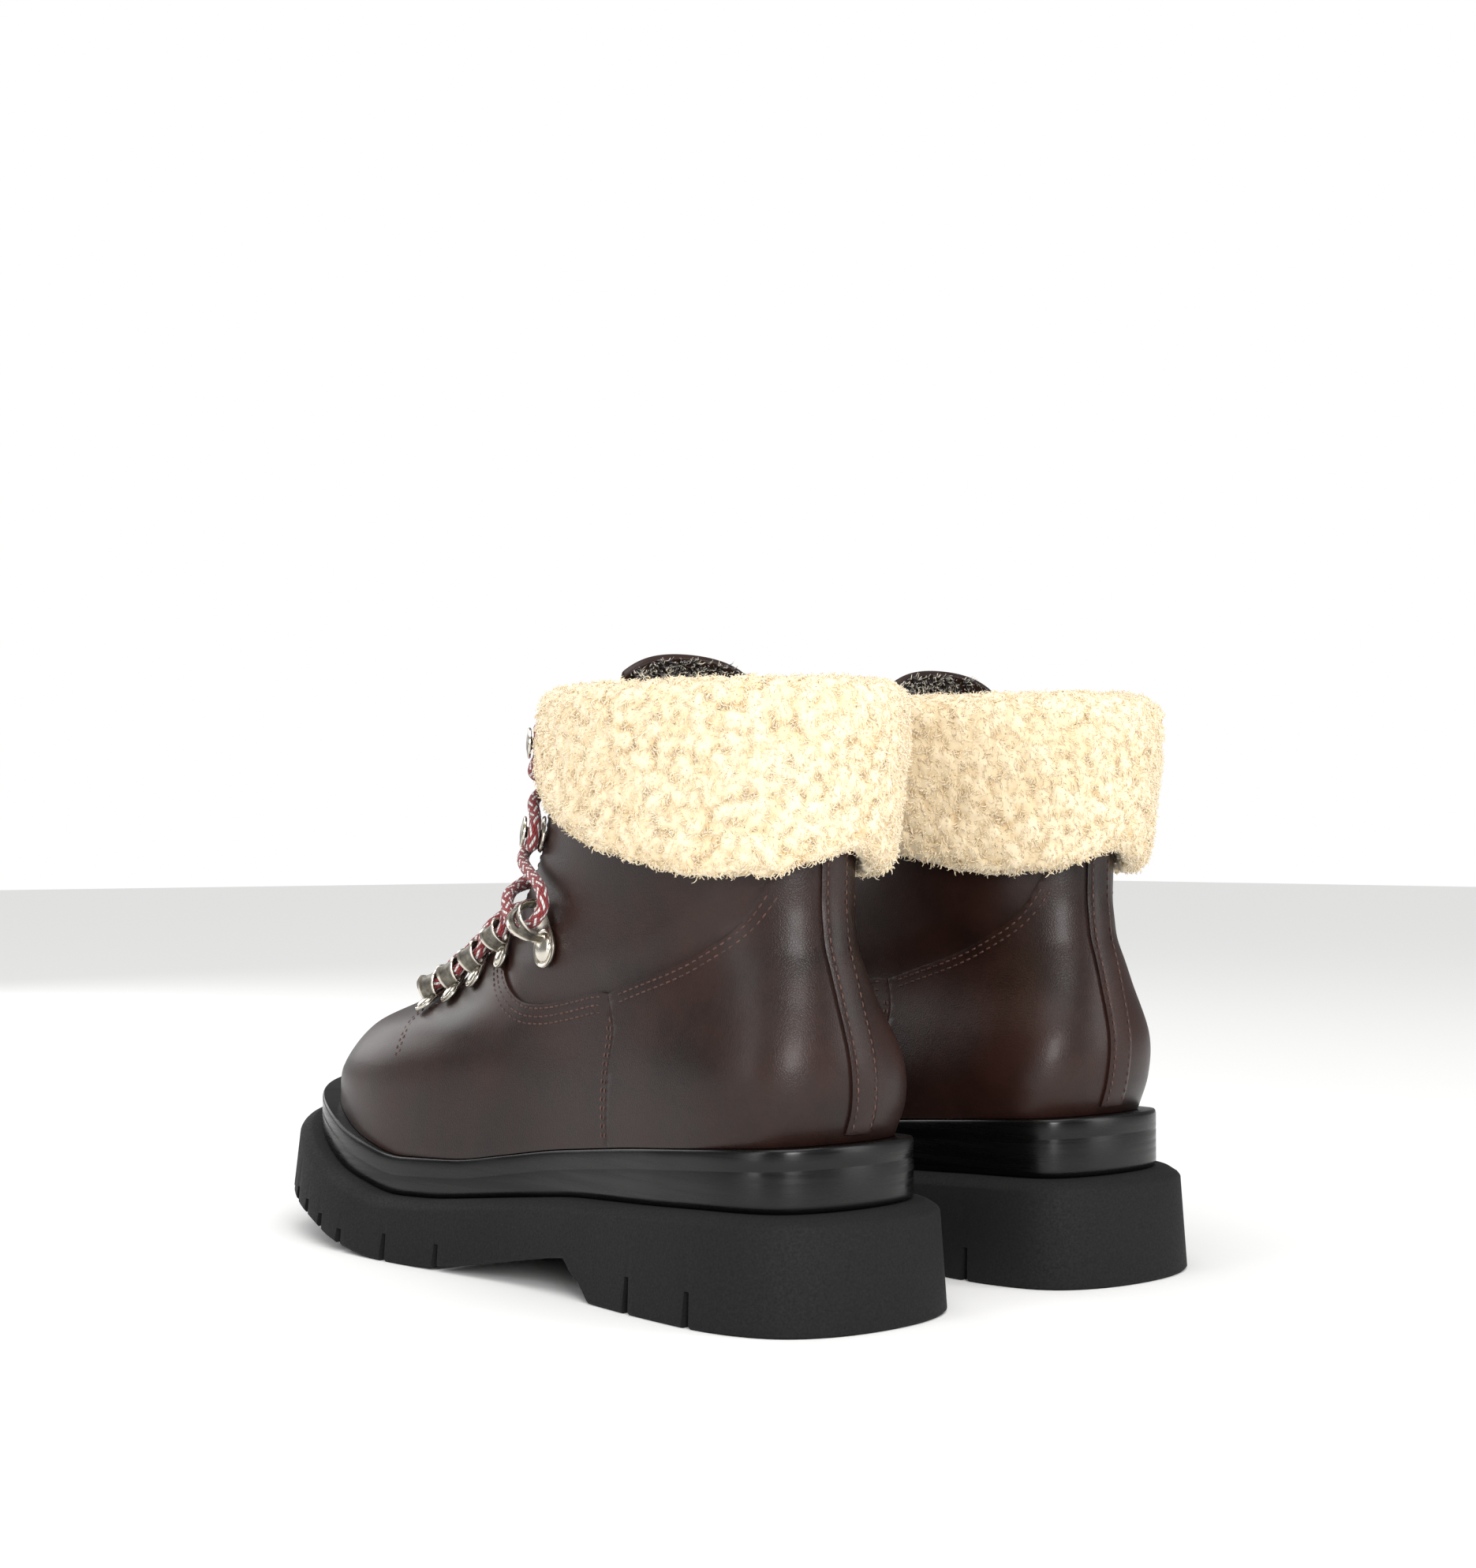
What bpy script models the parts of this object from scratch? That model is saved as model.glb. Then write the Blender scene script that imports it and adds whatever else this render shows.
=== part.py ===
# A pair of fur-cuffed lace-up hiking boots. Metres, +Z up, toes towards -Y, left boot on +X.
import bpy
import bmesh
import numpy as np
from math import pi
from mathutils import Vector

for old in list(bpy.data.objects):
    bpy.data.objects.remove(old)

# driving dimensions
soleLength = 0.300          # ledge of the outsole, heel to toe
soleWidth = 0.106           # ledge of the outsole across the ball of the foot
shaftHeight = 0.190         # ground to the top edge of the leather shaft
pairPitch = 0.1164          # centre line to centre line of the two boots
leather = 0.0020            # thickness of the upper leather
liningThick = 0.0022        # thickness of the lining
tongueThick = 0.0028        # thickness of the padded tongue
laceDiameter = 0.0042       # round braided lace
cuffThick = 0.0130          # folded shearling cuff, standing off the shaft
gap = 0.0003                # air between touching pieces
seam = 0.0006               # cement line between the layers of the sole

# everything that follows the sizes above
longScale = soleLength / 0.300
wideScale = soleWidth / 0.106
highScale = shaftHeight / 0.190
rivetRadius = 0.0016
hoodInner = laceDiameter / 2 + 0.0013
hoodRise = laceDiameter + 0.0012
hoodWall = 0.0010
hoodLength = 0.0060
plateThick = 0.0009
stiffThick = 0.0011         # heel counter and toe puff boards
throatInset = leather + stiffThick + liningThick + 4 * gap

# sole outline: distance from the heel, half width outwards, half width inwards (millimetres)
soleTable = np.array([
    (0, 0, 0), (2, 17, 17), (8, 30, 30), (28, 42, 40), (60, 44.5, 41.5), (95, 43.5, 40),
    (130, 44, 40), (165, 49, 45.5), (200, 54, 50.5), (232, 55, 51.5), (262, 49, 46),
    (285, 35.5, 34), (296, 19, 19), (300, 0, 0)]) / 1000
soleTable[:, 0] *= longScale
soleTable[:, 1:] *= wideScale

# heights along the sole: distance from the heel, height (millimetres)
ledgeLine = np.array([(0, 35), (40, 34), (80, 31.5), (110, 30), (145, 26), (180, 22), (206, 21),
                      (237, 27), (266, 37), (300, 47)]) / 1000
midTopLine = np.array([(0, 55), (40, 52.5), (80, 49), (123, 44), (168, 36.5), (206, 34.5),
                       (233, 40), (255, 47), (300, 58)]) / 1000
treadLine = np.array([(0, 0), (94, 0), (95.5, 13), (107, 12), (150, 4), (175, 0), (205, 0),
                      (228, 3.5), (242, 8), (262, 12.5), (300, 22)]) / 1000
for line in (ledgeLine, midTopLine, treadLine):
    line[:, 0] *= longScale

# upper: heel distance, heel height, front distance, front height, half widths outwards and
# inwards, roundness, front height curve, sideways shift, narrowing over the instep
ringTable = np.array([
    (14, 54, 283, 55, 44.5, 41, 0.0, 1.0, 0, 0),
    (10, 66, 281, 62, 46, 43, 0.0, 1.6, 0, 0.06),
    (9.5, 80, 269, 77, 45, 42, 0.1, 1.4, 1, 0.28),
    (14, 98, 240, 88, 41, 37, 0.5, 1.2, 2, 0.5),
    (19, 116, 203, 103, 37, 34.5, 0.8, 1.0, 2.5, 0.38),
    (20, 134, 174, 124, 36, 34, 0.9, 1.0, 2.5, 0.25),
    (18, 158, 157, 150, 37, 36, 1.0, 1.0, 2.5, 0.15),
    (14, 190, 152, 190, 39, 38, 1.0, 1.0, 2.5, 0.15)])


def along(line, v):
    return np.interp(v, line[:, 0], line[:, 1])


def halfWidth(v, column):
    angle = np.arccos(1 - 2 * np.clip(v / soleLength, 0, 1))
    knots = np.arccos(1 - 2 * np.clip(soleTable[:, 0] / soleLength, 0, 1))
    width = soleTable[:, column]
    slope = np.gradient(width, knots)
    i = np.clip(np.searchsorted(knots, angle) - 1, 0, len(knots) - 2)
    h = knots[i + 1] - knots[i]
    x = (angle - knots[i]) / h
    a = (2 * x**3 - 3 * x**2 + 1) * width[i] + (x**3 - 2 * x**2 + x) * h * slope[i]
    return a + (3 * x**2 - 2 * x**3) * width[i + 1] + (x**3 - x**2) * h * slope[i + 1]


def ringPoint(row, t):
    """Point of one upper ring at angle t, 0 at the heel, pi at the toe."""
    vb, zb, vf, zf, wl, wm, k, bend, shift, narrow = row
    f = (1 - np.cos(t)) / 2
    v = (vb + (vf - vb) * f) / 1000 * longScale
    vo = soleLength * f
    out = np.sin(t) >= 0
    sole = np.where(out, halfWidth(vo, 1) / 55 * wl, halfWidth(vo, 2) / 51.5 * wm)
    egg = np.where(out, wl, wm) * np.abs(np.sin(t)) / 1000 * wideScale
    w = ((1 - k) * sole + k * egg) * (1 - narrow * f**2)
    u = np.where(out, w, -w) + (shift - 3 * f**3 * (1 - k)) / 1000 * wideScale
    z = (zb + (zf - zb) * f**bend) / 1000 * highScale
    return np.stack([u, v, z], -1)


def upperRaw(s, t):
    rows = np.array([ringPoint(row, t) for row in ringTable])
    rows[0, ..., 2] = along(midTopLine, rows[0, ..., 1]) + seam
    last = len(ringTable) - 1
    i = np.clip(np.floor(s).astype(int), 0, last - 1)
    x = (s - i)[..., None]
    cell = tuple(np.indices(s.shape))
    p1 = rows[(i,) + cell]
    p2 = rows[(i + 1,) + cell]
    p0 = np.where((i > 0)[..., None], rows[(np.maximum(i - 1, 0),) + cell], 2 * p1 - p2)
    p3 = np.where((i + 1 < last)[..., None], rows[(np.minimum(i + 2, last),) + cell], 2 * p2 - p1)
    a = 2 * p1 + (p2 - p0) * x + (2 * p0 - 5 * p1 + 4 * p2 - p3) * x * x
    return 0.5 * (a + (3 * p1 - p0 - 3 * p2 + p3) * x**3)


def upper(s, t, inset=0.0):
    """Point of the upper at height parameter s and angle t, moved inwards by inset."""
    s, t = np.broadcast_arrays(np.asarray(s, float), np.asarray(t, float))
    e = 1e-3
    ds = upperRaw(np.minimum(s + e, 7), t) - upperRaw(np.maximum(s - e, 0), t)
    dt = upperRaw(s, t + e) - upperRaw(s, t - e)
    n = np.cross(ds, dt)
    n /= np.linalg.norm(n, axis=-1)[..., None]
    flat = n.copy()
    low = np.clip(1 - s / 0.8, 0, 1)[..., None]
    flat[..., 2] = 0
    flat /= np.linalg.norm(flat, axis=-1)[..., None]
    n = n * (1 - low) + flat * low
    n /= np.linalg.norm(n, axis=-1)[..., None]
    base = upperRaw(s, t)
    p = base + n * np.asarray(inset)[..., None]
    drop = along(midTopLine, p[..., 1]) - along(midTopLine, base[..., 1])
    p[..., 2] += drop * low[..., 0]
    return p


materials = {
    'outsole_rubber': ((0.010, 0.010, 0.011), 0.0, 0.75),
    'midsole_rubber': ((0.012, 0.011, 0.011), 0.0, 0.35),
    'insole_fibre': ((0.30, 0.20, 0.12), 0.0, 0.9),
    'footbed_felt': ((0.62, 0.55, 0.42), 0.0, 0.95),
    'upper_leather': ((0.035, 0.022, 0.018), 0.0, 0.4),
    'strip_leather': ((0.030, 0.019, 0.016), 0.0, 0.42),
    'stiffener_board': ((0.42, 0.34, 0.25), 0.0, 0.8),
    'lining_fleece': ((0.70, 0.60, 0.44), 0.0, 1.0),
    'cuff_shearling': ((0.76, 0.66, 0.47), 0.0, 1.0),
    'tongue_leather': ((0.040, 0.026, 0.021), 0.0, 0.4),
    'lace_braid': ((0.35, 0.03, 0.03), 0.0, 0.8),
    'antique_nickel': ((0.42, 0.38, 0.31), 1.0, 0.32)}
slots = {}
for slotName, (colour, metal, rough) in materials.items():
    mat = bpy.data.materials.new(slotName)
    mat.use_nodes = True
    shader = mat.node_tree.nodes['Principled BSDF']
    shader.inputs['Base Color'].default_value = (*colour, 1)
    shader.inputs['Metallic'].default_value = metal
    shader.inputs['Roughness'].default_value = rough
    slots[slotName] = mat

made = []


def newObject(name, bm, slotName=None):
    bmesh.ops.remove_doubles(bm, verts=bm.verts, dist=0.00002)
    bmesh.ops.recalc_face_normals(bm, faces=bm.faces)
    mesh = bpy.data.meshes.new(name)
    bm.to_mesh(mesh)
    bm.free()
    ob = bpy.data.objects.new(name, mesh)
    bpy.context.scene.collection.objects.link(ob)
    if slotName:
        mesh.materials.append(slots[slotName])
        made.append(ob)
    return ob


def toFrame(p):
    """Boot coordinates (outwards, from the heel, up) to the frame, left boot."""
    p = np.asarray(p, float)
    return np.stack([pairPitch / 2 + p[..., 0], soleLength / 2 - p[..., 1], p[..., 2]], -1)


def stack(rings, closeEnds='strips'):
    """Skin a stack of closed rings; the first and last are capped by cross strips."""
    bm = bmesh.new()
    rows = [[bm.verts.new(p) for p in toFrame(ring)] for ring in rings]
    count = len(rows[0])
    for a, b in zip(rows, rows[1:]):
        for i in range(count):
            j = (i + 1) % count
            bm.faces.new((a[i], a[j], b[j], b[i]))
    if closeEnds == 'strips':
        for row in (rows[0], rows[-1]):
            for i in range(count // 2):
                quad = [row[i], row[i + 1], row[(count - i - 1) % count], row[(count - i) % count]]
                face = []
                for v in quad:
                    if v not in face:
                        face.append(v)
                if len(face) > 2:
                    bm.faces.new(face)
    else:
        for i in range(count):
            j = (i + 1) % count
            bm.faces.new((rows[-1][i], rows[-1][j], rows[0][j], rows[0][i]))
    return bm


def sheet(grid, backGrid):
    """Closed slab between two equal open grids of points."""
    bm = bmesh.new()
    front = [[bm.verts.new(p) for p in toFrame(row)] for row in grid]
    back = [[bm.verts.new(p) for p in toFrame(row)] for row in backGrid]
    high = len(front)
    wide = len(front[0])
    for i in range(high - 1):
        for j in range(wide - 1):
            bm.faces.new((front[i][j], front[i][j + 1], front[i + 1][j + 1], front[i + 1][j]))
            bm.faces.new((back[i][j], back[i + 1][j], back[i + 1][j + 1], back[i][j + 1]))
    rim = [(0, j) for j in range(wide)] + [(i, wide - 1) for i in range(1, high)]
    rim += [(high - 1, j) for j in range(wide - 2, -1, -1)] + [(i, 0) for i in range(high - 2, 0, -1)]
    for (a, b), (c, d) in zip(rim, rim[1:] + rim[:1]):
        bm.faces.new((front[a][b], back[a][b], back[c][d], front[c][d]))
    return bm


def sidePrism(points, low, high):
    return newObject('cutter', prismMesh(points, low, high))


def prismMesh(points, low, high):
    """Prism across the boot from a closed side-view line of (from heel, height) in millimetres."""
    bm = bmesh.new()
    rows = []
    for u in (low, high):
        ring = [(u, v / 1000 * longScale, z / 1000 * highScale) for v, z in points]
        rows.append([bm.verts.new(p) for p in toFrame(np.array(ring))])
    bm.faces.new(rows[0])
    bm.faces.new(rows[1][::-1])
    count = len(points)
    for i in range(count):
        j = (i + 1) % count
        bm.faces.new((rows[0][i], rows[0][j], rows[1][j], rows[1][i]))
    bmesh.ops.triangulate(bm, faces=bm.faces)
    return bm


def shrink(points, d):
    """Move every side of a closed side-view line inwards by d millimetres."""
    p = np.array(points, float)
    area = 0.5 * np.sum(p[:, 0] * np.roll(p[:, 1], -1) - np.roll(p[:, 0], -1) * p[:, 1])
    out = []
    for i in range(len(p)):
        a, b, c = p[i - 1], p[i], p[(i + 1) % len(p)]
        e = (b - a) / np.linalg.norm(b - a)
        g = (c - b) / np.linalg.norm(c - b)
        n1 = np.array([-e[1], e[0]]) * np.sign(area)
        n2 = np.array([-g[1], g[0]]) * np.sign(area)
        m = (n1 + n2) / max(1 + n1 @ n2, 0.3)
        out.append(tuple(b + m * d))
    return out


def boolean(ob, cutter, operation, keep=False):
    mod = ob.modifiers.new('cut', 'BOOLEAN')
    mod.object = cutter
    mod.operation = operation
    mod.solver = 'EXACT'
    cutter.hide_render = True
    cutter.display_type = 'WIRE'
    bpy.context.view_layer.objects.active = ob
    bpy.ops.object.modifier_apply(modifier=mod.name)
    if not keep:
        bpy.data.objects.remove(cutter)


# ---- sole stack
def outline(inset, stations):
    """Closed outline of the sole moved inwards, paired left and right by station."""
    t = np.arccos(1 - 2 * np.array(stations) / soleLength)
    t = np.concatenate([t, 2 * pi - t[-2:0:-1]])
    f = (1 - np.cos(t)) / 2
    v = soleLength * f
    out = np.sin(t) >= -1e-9
    w = np.where(out, halfWidth(v, 1), -halfWidth(v, 2))
    p = np.stack([w - 0.003 * wideScale * f**3, v], -1)
    tangent = np.roll(p, -1, 0) - np.roll(p, 1, 0)
    n = np.stack([-tangent[:, 1], tangent[:, 0]], -1)
    n /= np.linalg.norm(n, axis=1)[:, None]
    if np.sum(n * (p - p.mean(0))) > 0:
        n = -n
    return p + n * inset


def ringAt(inset, stations, line, lift=0.0):
    p = outline(inset, stations)
    return np.column_stack([p, along(line, p[:, 1]) + lift])


soleStations = np.array([0, 2, 8, 20, 38, 62, 82, 94, 95.5, 107, 128, 150, 175, 205, 228, 246,
                         262, 276, 288, 296, 300]) / 1000 * longScale
flare = 0.0025
chamfer = 0.004
midInset = 0.0078
ledgeLow = ledgeLine.copy()
ledgeLow[:, 1] -= 0.0028
tread = ringAt(-flare, soleStations, treadLine)
tread[:, 2] = along(treadLine, outline(0, soleStations)[:, 1])
rings = [tread,
         ringAt(0, soleStations, ledgeLow),
         ringAt(chamfer, soleStations, ledgeLine),
         ringAt(midInset + 0.004, soleStations, ledgeLine)]
outsole = newObject('outsole_L', stack(rings), 'outsole_rubber')


def gather(parts):
    """One mesh holding several separate cutters."""
    whole = bmesh.new()
    for part in parts:
        piece = bpy.data.meshes.new('piece')
        part.to_mesh(piece)
        part.free()
        whole.from_mesh(piece)
        bpy.data.meshes.remove(piece)
    return newObject('cutter', whole)


def notch(v, wide, tall, z):
    half = wide / 2
    return prismMesh([(v - half, z - 2), (v + half, z - 2), (v + 0.25, z + tall),
                      (v - 0.25, z + tall)], -0.09, 0.09)


notches = [notch(38.8, 3.6, 11, 0), notch(67.5, 3.6, 11.5, 0), notch(167.5, 3.6, 8, 1),
           notch(195, 3.6, 8.5, 1)]
for v in (222, 236.5, 249.5, 262, 273.5):
    low = float(along(treadLine, v / 1000 * longScale)) * 1000
    notches.append(notch(v, 5.0, 5.5, low))
boolean(outsole, gather(notches), 'DIFFERENCE')

rings = [ringAt(midInset, soleStations, ledgeLine, seam),
         ringAt(midInset, soleStations, midTopLine, -0.0012),
         ringAt(midInset + 0.0012, soleStations, midTopLine),
         ringAt(midInset + 0.004, soleStations, midTopLine)]
midsole = newObject('midsole_L', stack(rings), 'midsole_rubber')

# ---- upper shells
around = 2 * pi * np.arange(24) / 24
climb = np.array([0, 0.6, 1.2, 1.8, 2.4, 3, 3.6, 4.2, 4.8, 5.3, 5.8, 6.3, 7])


def tube(outerInset, innerInset, heights=climb):
    """Closed shell round the foot; both faces are split along the same diagonals."""
    s, t = np.meshgrid(heights, around, indexing='ij')
    bm = bmesh.new()
    faces = []
    for depth in (outerInset(s, t), innerInset(s, t)):
        faces.append([[bm.verts.new(p) for p in toFrame(row)] for row in upper(s, t, depth)])
    count = len(around)
    for i in range(len(heights) - 1):
        for j in range(count):
            k = (j + 1) % count
            for face in faces:
                bm.faces.new((face[i][j], face[i + 1][j], face[i + 1][k]))
                bm.faces.new((face[i][j], face[i + 1][k], face[i][k]))
    for i in (0, len(heights) - 1):
        for j in range(count):
            k = (j + 1) % count
            bm.faces.new((faces[0][i][j], faces[0][i][k], faces[1][i][k], faces[1][i][j]))
    return bm


throat = [(222, 225), (222, 89.5), (211, 87.5), (203, 91.5), (194, 98), (184, 106), (170, 117),
          (158, 130), (150, 148), (145.5, 170), (143, 225)]
heelSeam = [(90, 95.8), (80, 98), (62, 103.8), (50, 109.5), (37, 119), (25, 139), (22, 165), (21, 225)]
instepSeam = [(98, 93.8), (113, 90.5), (126, 88.2), (136, 87.9), (146, 89.6), (156, 93.3),
              (167, 98.3), (173, 106), (176, 117), (180, 225)]
sideSeam = [(92, 20), (91, 71), (88, 85), (90, 95.8)]
regions = {
    'vamp_L': (sideSeam + instepSeam + [(330, 225), (330, 20)], -0.09, 0.09),
    'heel_panel_L': (sideSeam + heelSeam[1:] + [(-30, 225), (-30, 20)], -0.09, 0.09),
    'lateral_quarter_L': (heelSeam[::-1] + instepSeam, 0, 0.09),
    'medial_quarter_L': (heelSeam[::-1] + instepSeam, -0.09, 0)}

# places of the fittings: height parameter, angle; four tunnels, the ankle hook, two speed hooks
fittings = [(2.66, 2.27), (3.02, 2.21), (3.48, 2.20), (3.97, 2.13), (4.10, 1.76), (5.90, 2.44),
            (6.72, 2.47)]


def seat(index, hand):
    """Point and axes (towards the throat, up the row, outwards) of one fitting."""
    s, t = fittings[index]
    t = t if hand > 0 else 2 * pi - t
    p = upper(s, t)
    n = upper(s, t, -0.001) - p
    n /= np.linalg.norm(n)
    lo = upper(max(s - 0.35, 0), t)
    hi = upper(min(s + 0.35, 7), t)
    if index < 4:
        a, b = fittings[max(index - 1, 0)], fittings[min(index + 1, 3)]
        lo = upper(a[0], a[1] if hand > 0 else 2 * pi - a[1])
        hi = upper(b[0], b[1] if hand > 0 else 2 * pi - b[1])
    row = hi - lo
    row -= n * (row @ n)
    row /= np.linalg.norm(row)
    inward = np.cross(row, n)
    if inward[0] * hand > 0:
        inward = -inward
    if index == 4:
        tilted = inward * 0.94 + row * 0.34
        row = row * 0.94 - inward * 0.34
        inward = tilted
    return p, inward, row, n


seats = {(index, hand): seat(index, hand) for index in range(7) for hand in (1, -1)}
lifts = {}
for (index, hand), (p, a, b, n) in seats.items():
    s, t = fittings[index]
    s, t = np.meshgrid(s + np.linspace(-0.5, 0.5, 11), t + np.linspace(-0.5, 0.7, 25), indexing='ij')
    near = upper(s, t if hand > 0 else 2 * pi - t) - p
    x, y, z = near @ a, near @ b, near @ n
    reach = (-0.0045, 0.0125, 0.0045) if index < 4 else (-0.0065, 0.017, 0.0065)
    if index > 4:
        reach = (-0.0065, 0.0065, 0.0065)
    under = (x > reach[0]) & (x < reach[1]) & (np.abs(y) < reach[2])
    lifts[index, hand] = max(float(z[under].max()), 0.0) + 0.0003


def local(index, hand, x, y, z):
    p, a, b, n = seats[index, hand]
    if z > 0:
        z += lifts[index, hand]
    return p + a * x + b * y + n * z


def disc(index, hand, x, y, radius, low, high, sides=12):
    bm = bmesh.new()
    rows = []
    for z in (low, high):
        turn = 2 * pi * np.arange(sides) / sides
        ring = [local(index, hand, x + radius * np.cos(a), y + radius * np.sin(a), z) for a in turn]
        rows.append([bm.verts.new(p) for p in toFrame(np.array(ring))])
    bm.faces.new(rows[0])
    bm.faces.new(rows[1][::-1])
    for i in range(sides):
        j = (i + 1) % sides
        bm.faces.new((rows[0][i], rows[0][j], rows[1][j], rows[1][i]))
    return bm


def profilePrism(index, hand, points, low, high):
    """Prism along the row from a closed (towards throat, outwards) line."""
    bm = bmesh.new()
    rows = []
    for y in (low, high):
        ring = [local(index, hand, x, y, z) for x, z in points]
        rows.append([bm.verts.new(p) for p in toFrame(np.array(ring))])
    count = len(points)
    bm.faces.new(rows[0])
    bm.faces.new(rows[1][::-1])
    for i in range(count):
        j = (i + 1) % count
        bm.faces.new((rows[0][i], rows[0][j], rows[1][j], rows[1][i]))
    return bm


seatLift = 0.0005
plateTop = seatLift + plateThick
washerTop = -leather - 0.0012
washerLow = washerTop - 0.0007
hoodAt = 0.0078


def turned(index, hand, profile, sides=8):
    """Solid turned about the rivet from (radius, height) pairs."""
    bm = bmesh.new()
    rows = []
    for radius, z in profile:
        turn = 2 * pi * (np.arange(sides) + 0.5) / sides
        ring = [local(index, hand, radius * np.cos(a), radius * np.sin(a), z) for a in turn]
        rows.append([bm.verts.new(p) for p in toFrame(np.array(ring))])
    for lower, higher in zip(rows, rows[1:]):
        for i in range(sides):
            j = (i + 1) % sides
            bm.faces.new((lower[i], lower[j], higher[j], higher[i]))
    bm.faces.new(rows[0])
    bm.faces.new(rows[-1][::-1])
    return bm


def fitting(index, hand, name):
    shank = [(0.0032, washerLow), (0.0032, washerTop), (rivetRadius, washerTop),
             (rivetRadius, seatLift)]
    if index > 4:
        neckTop = plateTop + laceDiameter + 0.0012
        profile = shank + [(0.0062, seatLift), (0.0062, plateTop), (0.0017, plateTop),
                           (0.0017, neckTop), (0.0052, neckTop), (0.0052, neckTop + 0.0011)]
        newObject(name, turned(index, hand, profile), 'antique_nickel')
        return
    size = 1.0 if index < 4 else 1.55
    at = hoodAt * (1.0 if index < 4 else 1.25)
    base = 0.0042 * size
    head = 0.0031 * size
    profile = shank + [(base, seatLift), (base, plateTop), (head, plateTop), (head, plateTop + 0.001)]
    ob = newObject(name, turned(index, hand, profile), 'antique_nickel')
    half = hoodLength * (1.0 if index < 3 else 0.8) / 2
    inner = hoodInner * size
    outer = inner + hoodWall
    rise = hoodRise * size
    under = seatLift + 0.0001
    above = plateTop - 0.0001
    spring = plateTop + 0.0004
    turn = np.linspace(0, pi, 7)
    strap = [(0.001, under), (at + outer, under)]
    strap += [(at + outer * np.cos(a), spring + (rise + hoodWall) * np.sin(a)) for a in turn]
    strap += [(at - outer, above + 0.0002), (at - inner, above + 0.0002)]
    strap += [(at + inner * np.cos(a), spring + rise * np.sin(a)) for a in turn[::-1]]
    strap += [(at + inner, above), (0.001, above)]
    boolean(ob, newObject('cutter', profilePrism(index, hand, strap, -half, half)), 'UNION')


def pierce(ob, radius, low, high):
    parts = [disc(index, hand, 0, 0, radius, low, high, 6) for hand in (1, -1) for index in range(7)]
    boolean(ob, gather(parts), 'DIFFERENCE')


shell = newObject('shell', tube(lambda s, t: 0 * s, lambda s, t: 0 * s + leather))
boolean(shell, sidePrism(throat, -0.09, 0.09), 'DIFFERENCE')
pierce(shell, rivetRadius + 2 * gap, -leather - 0.002, 0.002)
for name, (line, low, high) in regions.items():
    panel = shell.copy()
    panel.data = shell.data.copy()
    panel.name = name
    bpy.context.scene.collection.objects.link(panel)
    panel.data.materials.clear()
    panel.data.materials.append(slots['upper_leather'])
    boolean(panel, sidePrism(shrink(line, 0.15), low, high), 'INTERSECT')
    made.append(panel)
bpy.data.objects.remove(shell)


def smooth(x):
    x = np.clip(x, 0, 1)
    return x * x * (3 - 2 * x)


def stiffened(s, t):
    """1 where a counter, a toe puff or the rivet washers lie behind the leather."""
    p = upperRaw(s, t)
    heel = smooth((0.092 * longScale - p[..., 1]) / 0.012)
    heel = heel * smooth((0.112 * highScale - p[..., 2]) / 0.010)
    toe = smooth((p[..., 1] - 0.226 * longScale) / 0.012)
    turn = np.minimum(t, 2 * pi - t)
    facing = smooth((turn - 1.35) / 0.3) * smooth((s - 2.0) / 0.4)
    return np.maximum(np.maximum(heel, toe), facing * 1.5)


liningFace = leather + gap
lining = newObject('lining_L', tube(
    lambda s, t: liningFace + stiffened(s, t) * (stiffThick + 2 * gap),
    lambda s, t: liningFace + stiffened(s, t) * (stiffThick + gap) + liningThick), 'lining_fleece')
boolean(lining, sidePrism(shrink(throat, -5.5), -0.09, 0.09), 'DIFFERENCE')


def stiffener(name, line):
    ob = newObject(name, tube(lambda s, t: 0 * s + liningFace,
                              lambda s, t: 0 * s + liningFace + stiffThick), 'stiffener_board')
    boolean(ob, sidePrism(line, -0.09, 0.09), 'INTERSECT')


stiffener('heel_counter_L', [(-30, 20), (-30, 98), (40, 98), (76, 84), (76, 20)])
stiffener('toe_puff_L', [(242, 20), (248, 120), (330, 120), (330, 20)])

# insole board and footbed inside the lining
boardT = np.arccos(np.linspace(1, -1, 18))
boardT = np.concatenate([boardT, 2 * pi - boardT[-2:0:-1]])
liningInner = liningFace + stiffThick + 3 * gap + liningThick


def plate(name, inset, low, high, slotName):
    p = upper(np.zeros_like(boardT), boardT, inset)
    base = along(midTopLine, p[:, 1])
    a = p.copy()
    a[:, 2] = base + low
    b = p.copy()
    b[:, 2] = base + high
    newObject(name, stack([a, b]), slotName)


plate('insole_board_L', liningInner + 0.0008, 0.0010, 0.0028, 'insole_fibre')
plate('footbed_L', liningInner + 0.0012, 0.0032, 0.0070, 'footbed_felt')

# strip over the back seam
stripS = np.array([0.25, 0.9, 1.6, 2.4, 3.2, 4.0, 4.8, 5.7])
stripT = np.linspace(-1, 1, 5)
stripHalf = 0.0052


def stripGrid(inset):
    rows = []
    for s in stripS:
        fine = np.linspace(-0.5, 0.5, 201)
        p = upper(np.full(201, s), fine, inset)
        run = np.concatenate([[0], np.cumsum(np.linalg.norm(np.diff(p, axis=0), axis=1))])
        run -= np.interp(0, fine, run)
        t = np.interp(stripT * stripHalf, run, fine)
        rows.append(upper(np.full(5, s), t, inset))
    return np.array(rows)


newObject('back_strip_L', sheet(stripGrid(-0.0016), stripGrid(-0.0004)), 'strip_leather')

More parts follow.
